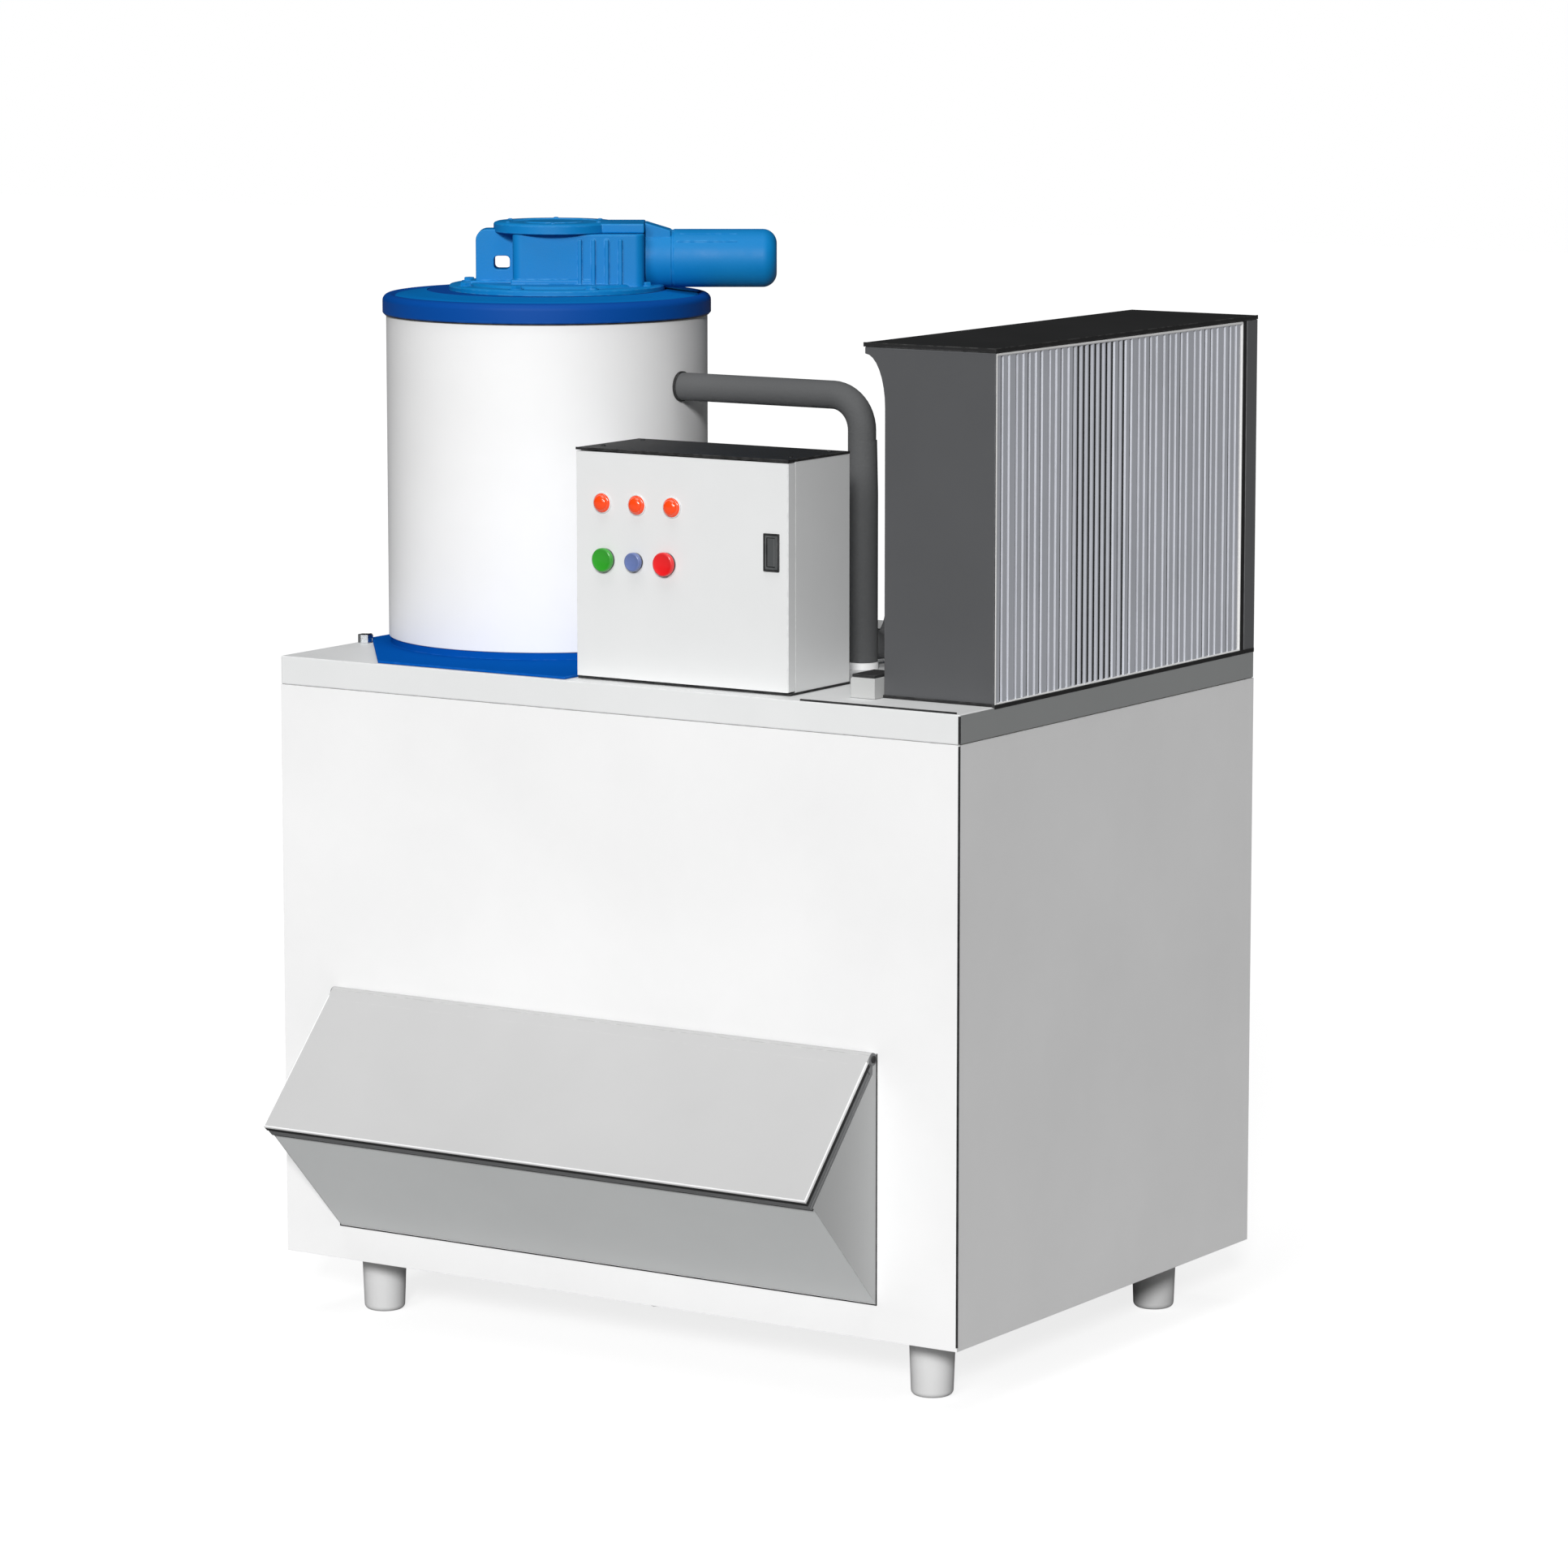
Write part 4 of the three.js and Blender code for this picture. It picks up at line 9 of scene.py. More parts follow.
import logging
import math
from dataclasses import dataclass
from enum import Enum
from typing import Callable, Iterable, Sequence

import bpy
from mathutils import Matrix, Vector


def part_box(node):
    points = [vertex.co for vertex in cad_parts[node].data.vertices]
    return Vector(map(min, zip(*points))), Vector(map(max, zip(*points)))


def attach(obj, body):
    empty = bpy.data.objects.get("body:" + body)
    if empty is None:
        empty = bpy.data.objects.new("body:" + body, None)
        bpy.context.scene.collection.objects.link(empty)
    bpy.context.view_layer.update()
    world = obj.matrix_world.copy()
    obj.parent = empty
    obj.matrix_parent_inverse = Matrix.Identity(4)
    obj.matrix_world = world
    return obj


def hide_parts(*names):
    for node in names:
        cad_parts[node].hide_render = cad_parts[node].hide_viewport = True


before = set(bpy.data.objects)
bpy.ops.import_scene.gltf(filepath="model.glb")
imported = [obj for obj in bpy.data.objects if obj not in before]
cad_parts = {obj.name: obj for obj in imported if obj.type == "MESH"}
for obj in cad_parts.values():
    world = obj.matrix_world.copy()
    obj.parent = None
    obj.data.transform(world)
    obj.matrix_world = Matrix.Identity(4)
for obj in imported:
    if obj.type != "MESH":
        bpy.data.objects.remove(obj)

log = logging.getLogger("ice_maker")

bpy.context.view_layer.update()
MM = 0.001
WELD = 1e-6              # metres; points nearer than this are one
FRAME_WELD = 2e-6        # the same for copies of the frame
FLAT = 0.5               # degrees; faces that turn less than this are one
SOFT_SEGMENTS = 10       # faces in a large round
TINY = 1e-3              # a lathe's pole is a ring this small, as a share of the ring before it
Piece = bpy.types.Object
Place = Sequence[float]
Profile = Sequence[tuple[float, float]]
Test = Callable[[Vector, Vector], bool]


class Axis(Enum):
    """A direction of the machine that a round piece can lie along."""

    X = (1.0, 0.0, 0.0)
    Y = (0.0, 1.0, 0.0)
    Z = (0.0, 0.0, 1.0)

    @property
    def upright_turn(self) -> tuple[float, float, float]:
        """The turn that lays an upright piece along this direction."""
        return tuple(Vector(self.value).to_track_quat("Z", "Y").to_euler())


def corners(node: str) -> tuple[Vector, Vector]:
    """Give a sub-part's lowest and highest corner.

    Args:
        node: the sub-part's name.

    Returns:
        The two corners.
    """
    low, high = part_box(node)
    return Vector(low) / MM, Vector(high) / MM


class Bench:
    """The modelling moves of the workshop, each on one piece at a time."""

    @staticmethod
    def drop_everything() -> None:
        """Leave edit mode and take nothing in hand."""
        if bpy.context.object and bpy.context.object.mode != "OBJECT":
            bpy.ops.object.mode_set(mode="OBJECT")
        bpy.ops.object.select_all(action="DESELECT")

    @classmethod
    def take(cls, piece: Piece) -> Piece:
        """Take one piece in hand, alone."""
        cls.drop_everything()
        piece.select_set(True)
        bpy.context.view_layer.objects.active = piece
        return piece

    @staticmethod
    def edit(kind: str = "VERT", action: str = "SELECT") -> None:
        """Open the piece in hand in edit mode.

        Args:
            kind: VERT, EDGE or FACE.
            action: SELECT for everything, DESELECT for nothing.
        """
        bpy.ops.object.mode_set(mode="EDIT")
        bpy.ops.mesh.select_mode(type=kind)
        bpy.ops.mesh.select_all(action=action)

    @staticmethod
    def close(fill: bool = True) -> None:
        """Weld the piece in edit mode, turn its faces outwards and leave edit mode.

        Args:
            fill: whether its open ends are filled.
        """
        bpy.ops.mesh.select_all(action="SELECT")
        bpy.ops.mesh.remove_doubles(threshold=WELD)
        if fill:
            bpy.ops.mesh.select_all(action="DESELECT")
            bpy.ops.mesh.select_non_manifold()
            bpy.ops.mesh.fill_holes(sides=0)
        bpy.ops.mesh.select_all(action="SELECT")
        bpy.ops.mesh.normals_make_consistent(inside=False)
        bpy.ops.object.mode_set(mode="OBJECT")

    @classmethod
    def settle(cls, piece: Piece, name: str) -> Piece:
        """Name a piece and put its place into its mesh.

        Args:
            piece: a piece that may be moved, turned or scaled.
            name: the name that it gets.

        Returns:
            The piece, standing at the origin unturned.
        """
        cls.take(piece)
        bpy.ops.object.transform_apply(location=True, rotation=True, scale=True)
        piece.name = piece.data.name = name
        return piece

    @classmethod
    def placed(cls, piece: Piece, place: Place, turn: Place = (0.0, 0.0, 0.0)) -> Piece:
        """Turn a piece about the origin, move it, and put that into its mesh.

        Args:
            piece: the piece.
            place: how far it moves.
            turn: its turn, in radians.

        Returns:
            The same piece.
        """
        piece.rotation_euler = turn
        piece.location = Vector(place) * MM
        return cls.settle(piece, piece.name)

    @classmethod
    def box(cls, name: str, low: Place, high: Place, edge: float = 0.0, segments: int = 2) -> Piece:
        """Start a piece from a cube between two corners.

        Args:
            name: the piece's name.
            low: its lowest corner.
            high: its highest corner.
            edge: how far its edges are rounded, if at all.
            segments: how many faces make the round.

        Returns:
            The new piece.
        """
        cls.drop_everything()
        low, high = Vector(low) * MM, Vector(high) * MM
        bpy.ops.mesh.primitive_cube_add(size=1, location=(low + high) / 2, scale=high - low)
        piece = cls.settle(bpy.context.object, name)
        return cls.rounded(piece, edge, segments) if edge else piece

    @classmethod
    def turned(cls, name: str, profile: Profile, centre: Place, axis: Axis = Axis.Z, sides: int = 64,
               crease: float = 32.0) -> Piece:
        """Turn a piece on the lathe: a ring is added and drawn out step by step.

        Args:
            name: the piece's name.
            profile: radius and height pairs; a profile that ends where it starts makes a ring.
            centre: where the profile's zero height stands.
            axis: the direction that its height runs along.
            sides: how many faces go round.
            crease: edges that turn more than this many degrees stay sharp; 0 leaves it faceted.

        Returns:
            The new piece, closed.
        """
        cls.drop_everything()
        rings = [(radius * MM, height * MM) for radius, height in profile]
        radius, height = rings[0]
        radius = radius or rings[1][0] * TINY
        bpy.ops.mesh.primitive_circle_add(vertices=sides, radius=radius, location=(0, 0, height))
        piece = cls.settle(bpy.context.object, name)
        cls.edit()
        for next_radius, next_height in rings[1:]:
            target = next_radius or radius * TINY
            bpy.ops.mesh.extrude_region_move(TRANSFORM_OT_translate={"value": (0, 0, next_height - height)})
            if target != radius:
                bpy.ops.transform.resize(value=(target / radius, target / radius, 1))
            radius, height = target, next_height
        cls.close(fill=profile[0] != profile[-1])
        cls.placed(piece, centre, axis.upright_turn)
        return cls.smooth(piece, crease) if crease else piece

    @classmethod
    def rod(cls, name: str, radius: float, span: tuple[float, float], centre: Place,
            axis: Axis = Axis.Z, sides: int = 16) -> Piece:
        """Turn a plain round rod.

        Args:
            name: the piece's name.
            radius: the rod's radius.
            span: where it starts and ends along its axis, in either order.
            centre: where the span's zero stands.
            axis: the direction that it lies along.
            sides: how many faces go round.

        Returns:
            The new piece.
        """
        start, end = sorted(span)
        return cls.turned(name, [(0, start), (radius, start), (radius, end), (0, end)], centre, axis, sides)

    @classmethod
    def pipe(cls, name: str, route: Sequence[Place], radius: float, bend: float, sides: int,
             bend_steps: int) -> Piece:
        """Bend a pipe: a ring is drawn along the straight runs and spun round the bends.

        Args:
            name: the piece's name.
            route: the corner points of the pipe's middle line.
            radius: the pipe's outside radius.
            bend: the radius of its bends.
            sides: how many faces go round.
            bend_steps: how many steps a bend takes.

        Returns:
            The new piece, with closed ends.
        """
        cls.drop_everything()
        stops = [Vector(stop) * MM for stop in route]
        here = stops[0]
        heading = (stops[1] - here).normalized()
        bpy.ops.mesh.primitive_circle_add(vertices=sides, radius=radius * MM, location=here,
                                          rotation=heading.to_track_quat("Z", "Y").to_euler())
        piece = cls.settle(bpy.context.object, name)
        cls.edit()
        for corner, following in zip(stops[1:], [*stops[2:], None]):
            leaving = (following - corner).normalized() if following else heading
            turn = heading.angle(leaving)
            setback = bend * MM * math.tan(turn / 2)
            run_end = corner - heading * setback
            bpy.ops.mesh.extrude_region_move(TRANSFORM_OT_translate={"value": run_end - here})
            if following:
                inward = (leaving - heading * leaving.dot(heading)).normalized()
                bpy.ops.mesh.spin(steps=bend_steps, angle=turn, center=run_end + inward * bend * MM,
                                  axis=leaving.cross(heading).normalized())
                here, heading = corner + leaving * setback, leaving
        cls.close()
        return cls.smooth(piece)

    @classmethod
    def copy_of(cls, node: str, name: str) -> Piece:
        """Copy a sub-part of the frame as a clean mesh with whole flat faces.

        Args:
            node: the sub-part's name.
            name: the new piece's name.

        Returns:
            The new piece.
        """
        piece = bpy.data.objects.new(name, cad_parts[node].data.copy())
        piece.data.name = name
        piece.data.materials.clear()
        bpy.context.scene.collection.objects.link(piece)
        cls.take(piece)
        cls.edit()
        bpy.ops.mesh.remove_doubles(threshold=FRAME_WELD)
        bpy.ops.mesh.dissolve_limited(angle_limit=math.radians(FLAT))
        bpy.ops.mesh.mark_sharp(clear=True)
        bpy.ops.object.mode_set(mode="OBJECT")
        return piece

    @classmethod
    def modify(cls, piece: Piece, kind: str, **settings) -> Piece:
        """Apply one modifier to a piece.

        Args:
            piece: the piece.
            kind: the modifier's type.
            settings: its settings.

        Returns:
            The same piece.
        """
        cls.take(piece)
        change = piece.modifiers.new(kind.lower(), kind)
        for name, value in settings.items():
            setattr(change, name, value)
        bpy.ops.object.modifier_apply(modifier=change.name)
        return piece

    @classmethod
    def smooth(cls, piece: Piece, crease: float = 32.0) -> Piece:
        """Shade a piece smooth, but for edges that turn more than an angle in degrees."""
        cls.take(piece)
        bpy.ops.object.shade_smooth_by_angle(angle=math.radians(crease))
        return piece

    @classmethod
    def rounded(cls, piece: Piece, width: float, segments: int = 3, least_angle: float = 35.0) -> Piece:
        """Round the sharp edges of a piece.

        Args:
            piece: the piece.
            width: how far the round reaches from the edge.
            segments: how many faces make the round.
            least_angle: edges that turn less than this, in degrees, stay as they are.

        Returns:
            The same piece, shaded smooth but with its flat faces kept flat.
        """
        cls.modify(piece, "BEVEL", width=width * MM, segments=segments, limit_method="ANGLE",
                   angle_limit=math.radians(least_angle))
        cls.smooth(piece)
        return cls.modify(piece, "WEIGHTED_NORMAL", keep_sharp=True, weight=100)

    @classmethod
    def soften(cls, piece: Piece, wanted: Test, reach: float) -> None:
        """Round only the wanted edges of a piece, finely.

        Args:
            piece: the piece.
            wanted: tells from an edge's two end points whether it is wanted.
            reach: how far the round reaches from the edge.
        """
        cls.take(piece)
        cls.edit("EDGE", "DESELECT")
        bpy.ops.object.mode_set(mode="OBJECT")
        spots = piece.data.vertices
        for edge in piece.data.edges:
            edge.select = wanted(*(spots[index].co / MM for index in edge.vertices))
        bpy.ops.object.mode_set(mode="EDIT")
        bpy.ops.mesh.bevel(offset=reach * MM, segments=SOFT_SEGMENTS)
        bpy.ops.object.mode_set(mode="OBJECT")

    @classmethod
    def pick_faces(cls, piece: Piece, wanted: Test) -> None:
        """Open a piece in edit mode with only the wanted faces selected.

        Args:
            piece: the piece.
            wanted: tells from a face's middle and normal whether it is wanted.
        """
        cls.take(piece)
        cls.edit("FACE", "DESELECT")
        bpy.ops.object.mode_set(mode="OBJECT")
        for face in piece.data.polygons:
            face.select = wanted(face.center / MM, face.normal)
        bpy.ops.object.mode_set(mode="EDIT")

    @staticmethod
    def shift(piece: Piece, wanted: Callable[[Vector], bool], move: Place) -> None:
        """Move only the wanted points of a piece.

        Args:
            piece: the piece.
            wanted: tells from a point's place whether it is wanted.
            move: how far they move.
        """
        for spot in piece.data.vertices:
            if wanted(spot.co / MM):
                spot.co += Vector(move) * MM

    @classmethod
    def combine(cls, piece: Piece, tool: Piece, how: str) -> Piece:
        """Change a piece by another body, which is used up.

        Args:
            piece: the piece that stays.
            tool: the other body.
            how: UNION or DIFFERENCE.

        Returns:
            The piece.
        """
        cls.modify(piece, "BOOLEAN", operation=how, solver="EXACT", object=tool)
        bpy.data.objects.remove(tool, do_unlink=True)
        return piece

    @classmethod
    def cut(cls, piece: Piece, low: Place, high: Place) -> Piece:
        """Cut the box between a lowest and a highest corner out of a piece, and return the piece."""
        return cls.combine(piece, cls.box("room", low, high), "DIFFERENCE")

    @classmethod
    def joined(cls, name: str, pieces: Iterable[Piece]) -> Piece:
        """Put separate bodies into one piece without merging them.

        Args:
            name: the piece's name.
            pieces: the bodies.

        Returns:
            The one piece that holds them.
        """
        members = list(pieces)
        whole = cls.take(members[0])
        for member in members[1:]:
            member.select_set(True)
        if len(members) > 1:
            bpy.ops.object.join()
        whole.name = whole.data.name = name
        return whole

    @classmethod
    def copies(cls, pattern: Piece, offsets: Iterable[Place], name: str) -> Piece:
        """Set out copies of a pattern piece and put them into one piece.

        Args:
            pattern: the piece that is repeated, and used up.
            offsets: how far each copy stands from the pattern.
            name: the name of the whole.

        Returns:
            The one piece that holds the copies.
        """
        members = []
        for offset in offsets:
            copy = pattern.copy()
            copy.data = pattern.data.copy()
            bpy.context.scene.collection.objects.link(copy)
            copy.data.transform(Matrix.Translation(Vector(offset) * MM))
            members.append(copy)
        bpy.data.objects.remove(pattern, do_unlink=True)
        return cls.joined(name, members)


class Wiring:
    """Lays shader nodes out in a tree and links them."""

    def __init__(self, tree: bpy.types.NodeTree) -> None:
        self.tree = tree
        self.placed = 0

    @classmethod
    def on(cls, owner: bpy.types.Material | bpy.types.World) -> "Wiring":
        """Clear the nodes of a material or a world, to wire it anew."""
        owner.use_nodes = True
        owner.node_tree.nodes.clear()
        return cls(owner.node_tree)

    def add(self, kind: str, inputs: dict, **settings) -> bpy.types.Node:
        """Add a shader node.

        Args:
            kind: the node's type, without the word ShaderNode.
            inputs: its inputs by name or place, each a value or another node's output.
            settings: the node's own settings.

        Returns:
            The new node.
        """
        node = self.tree.nodes.new(kind if kind.startswith("NodeGroup") else f"ShaderNode{kind}")
        node.location = (210 * self.placed, -130 * (self.placed % 3))
        self.placed += 1
        for name, value in settings.items():
            setattr(node, name, value)
        for key, value in inputs.items():
            if isinstance(value, bpy.types.NodeSocket):
                self.tree.links.new(value, node.inputs[key])
            else:
                node.inputs[key].default_value = value
        return node

    def span(self, value: bpy.types.NodeSocket, given: Sequence, wanted: Sequence) -> bpy.types.NodeSocket:
        """Spread a value from one span of numbers to another.

        Args:
            value: the output to spread.
            given: the span's two ends as they come.
            wanted: the two ends that they become.

        Returns:
            The spread value's output.
        """
        ends = dict(zip(("From Min", "From Max", "To Min", "To Max"), (*given, *wanted)))
        return self.add("MapRange", {"Value": value, **ends}).outputs[0]


def linear(colour: Sequence[int]) -> tuple[float, float, float, float]:
    """Turn a screen colour, 0 to 255, into scene light values."""
    def one(value: int) -> float:
        share = value / 255
        return share / 12.92 if share <= 0.04045 else ((share + 0.055) / 1.055) ** 2.4
    return (*(one(value) for value in colour), 1.0)


class Grain(Enum):
    """How the surface of a material is broken up."""

    PAINT = "orange_peel_paint"
    BRUSHED = "rolled_sheet"
    CAST = "cast_skin"
    MOULDED = "moulded_plastic"
    CELLS = "foam_cells"


@dataclass(frozen=True)
class GrainRecipe:
    """The numbers behind one grain."""

    scale: float
    detail: float
    stretch: tuple[float, float, float] = (1.0, 1.0, 1.0)
    mottle_scale: float = 4.0
    rough_swing: float = 0.12
    cells: bool = False


GRAIN_RECIPES = {
    Grain.PAINT: GrainRecipe(scale=420, detail=1.5),
    Grain.BRUSHED: GrainRecipe(scale=60, detail=5, stretch=(1.0, 1.0, 22.0), mottle_scale=6.0,
                               rough_swing=0.2),
    Grain.CAST: GrainRecipe(scale=620, detail=6, mottle_scale=18.0, rough_swing=0.2),
    Grain.MOULDED: GrainRecipe(scale=900, detail=2, mottle_scale=7.0),
    Grain.CELLS: GrainRecipe(scale=260, detail=0, mottle_scale=12.0, rough_swing=0.08, cells=True),
}
GROUP_SOCKETS = {
    "INPUT": (("Vector", "Vector"), ("Colour", "Color"), ("Scuff and Sheen Colour", "Color"), ("Roughness", "Float"),
              ("Scuff and Sheen Amount", "Float")),
    "OUTPUT": (("Colour", "Color"), ("Roughness", "Float"), ("Height", "Float")),
}
MOTTLE_SPAN = (0.3, 0.7)         # what the mottle mostly gives
SHADE_SPAN = (0.955, 1.0)        # how far it darkens the colour
EDGE_REACH = 0.0025              # metres; how far from an edge the edge colour reaches: scuffed paint, and on the lid a painted highlight
EDGE_SPAN = (0.985, 0.85)        # the turn of the normal there, from plain face to full edge colour
CHIP_SPAN = (0.42, 0.6)          # which part of the chips' noise shows
FINE_ROUGHNESS = 0.06            # how far the grain itself changes the roughness
RELIEF_DEPTH = 0.0006            # metres


def surface_group(grain: Grain) -> bpy.types.NodeTree:
    """Build, once, the node group that varies a surface.

    Args:
        grain: which grain the group makes.

    Returns:
        The group: vector, colours and roughness in; colour, roughness and height out.
    """
    if grain.value in bpy.data.node_groups:
        return bpy.data.node_groups[grain.value]
    recipe = GRAIN_RECIPES[grain]
    group = bpy.data.node_groups.new(grain.value, "ShaderNodeTree")
    for way, sockets in GROUP_SOCKETS.items():
        for name, kind in sockets:
            group.interface.new_socket(name, in_out=way, socket_type=f"NodeSocket{kind}")
    wire = Wiring(group)
    given = wire.add("NodeGroupInput", {}).outputs
    place = wire.add("Mapping", {"Vector": given["Vector"], "Scale": recipe.stretch}).outputs[0]
    if recipe.cells:
        fine = wire.add("TexVoronoi", {"Vector": place, "Scale": recipe.scale}).outputs[0]
    else:
        fine = wire.add("TexNoise", {"Vector": place, "Scale": recipe.scale,
                                     "Detail": recipe.detail}).outputs[0]
    mottle = wire.add("TexNoise", {"Vector": given["Vector"], "Scale": recipe.mottle_scale,
                                   "Detail": 4.0, "Roughness": 0.6}).outputs[0]
    toned = wire.add("Mix", {"Factor": 1.0, 6: given["Colour"],
                             7: wire.span(mottle, MOTTLE_SPAN, SHADE_SPAN)},
                     data_type="RGBA", blend_type="MULTIPLY")
    normal = wire.add("NewGeometry", {}).outputs["Normal"]
    softened = wire.add("Bevel", {"Radius": EDGE_REACH}, samples=4).outputs[0]
    along = wire.add("VectorMath", {0: normal, 1: softened}, operation="DOT_PRODUCT").outputs["Value"]
    chips = wire.add("TexNoise", {"Vector": given["Vector"], "Scale": 85.0, "Detail": 5.0}).outputs[0]
    # Edges, broken up by chips, take the edge colour: scuffed paint on most finishes, a painted highlight on
    # the lid's lighter edges.
    scuff_and_sheen_edges = wire.add("Math", {0: wire.span(along, EDGE_SPAN, (0.0, 1.0)),
                               1: wire.span(chips, CHIP_SPAN, (0.0, 1.0))}, operation="MULTIPLY")
    scuff_and_sheen = wire.add("Math", {0: scuff_and_sheen_edges.outputs[0], 1: given["Scuff and Sheen Amount"]}, operation="MULTIPLY",
                    use_clamp=True)
    colour = wire.add("Mix", {"Factor": scuff_and_sheen.outputs[0], 6: toned.outputs[2], 7: given["Scuff and Sheen Colour"]},
                      data_type="RGBA")
    swing = wire.span(mottle, MOTTLE_SPAN, (-recipe.rough_swing / 2, recipe.rough_swing / 2))
    smudged = wire.add("Math", {0: given["Roughness"], 1: swing}).outputs[0]
    rough = wire.add("Math", {0: fine, 1: FINE_ROUGHNESS, 2: smudged},
                     operation="MULTIPLY_ADD", use_clamp=True)
    wire.add("NodeGroupOutput", {"Colour": colour.outputs[2], "Roughness": rough.outputs[0],
                                 "Height": fine})
    return group


@dataclass(frozen=True)
class Finish:
    """What a material looks like.

    Attributes:
        name: the finish's name, mostly also the record's slot.
        colour: its screen colour, 0 to 255.
        grain: how its surface is broken up.
        roughness: how dull it is.
        metallic: 1 for bare metal.
        coat: how much clear gloss lies over it.
        relief: how strongly the grain stands out.
        scuff_and_sheen: the screen colour of its edges: scuffed paint, but on lid_panel a lighter colour that
            paints a highlight along the lid's rim.
        scuff_and_sheen_amount: how far the edges take that colour.
        glow: how much light it gives.
        shine: how strongly it mirrors at a low angle, 0.5 for common paint.
        slot: the record's slot, where that isn't the name.
    """

    name: str
    colour: tuple[int, int, int]
    grain: Grain = Grain.PAINT
    roughness: float = 0.5
    metallic: float = 0.0
    coat: float = 0.0
    relief: float = 0.08
    scuff_and_sheen: tuple[int, int, int] = (150, 150, 150)
    scuff_and_sheen_amount: float = 0.25
    glow: float = 0.0
    shine: float = 0.5
    slot: str = ""

    def build(self) -> bpy.types.Material:
        """Build the material."""
        material = bpy.data.materials.new(f"{self.name}_finish")
        wire = Wiring.on(material)
        place = wire.add("TexCoord", {})
        surface = wire.add("Group", {
            "Vector": place.outputs["Object"], "Colour": linear(self.colour), "Scuff and Sheen Colour": linear(self.scuff_and_sheen),
            "Roughness": self.roughness, "Scuff and Sheen Amount": self.scuff_and_sheen_amount}, node_tree=surface_group(self.grain)).outputs
        relief = wire.add("Bump", {"Height": surface["Height"], "Strength": self.relief,
                                   "Distance": RELIEF_DEPTH})
        looks = {"Base Color": surface["Colour"], "Roughness": surface["Roughness"],
                 "Metallic": self.metallic, "Coat Weight": self.coat, "Coat Roughness": 0.12,
                 "Specular IOR Level": self.shine, "Normal": relief.outputs[0]}
        if self.glow:
            looks |= {"Emission Color": surface["Colour"], "Emission Strength": self.glow}
        wire.add("OutputMaterial", {"Surface": wire.add("BsdfPrincipled", looks).outputs[0]})
        return material


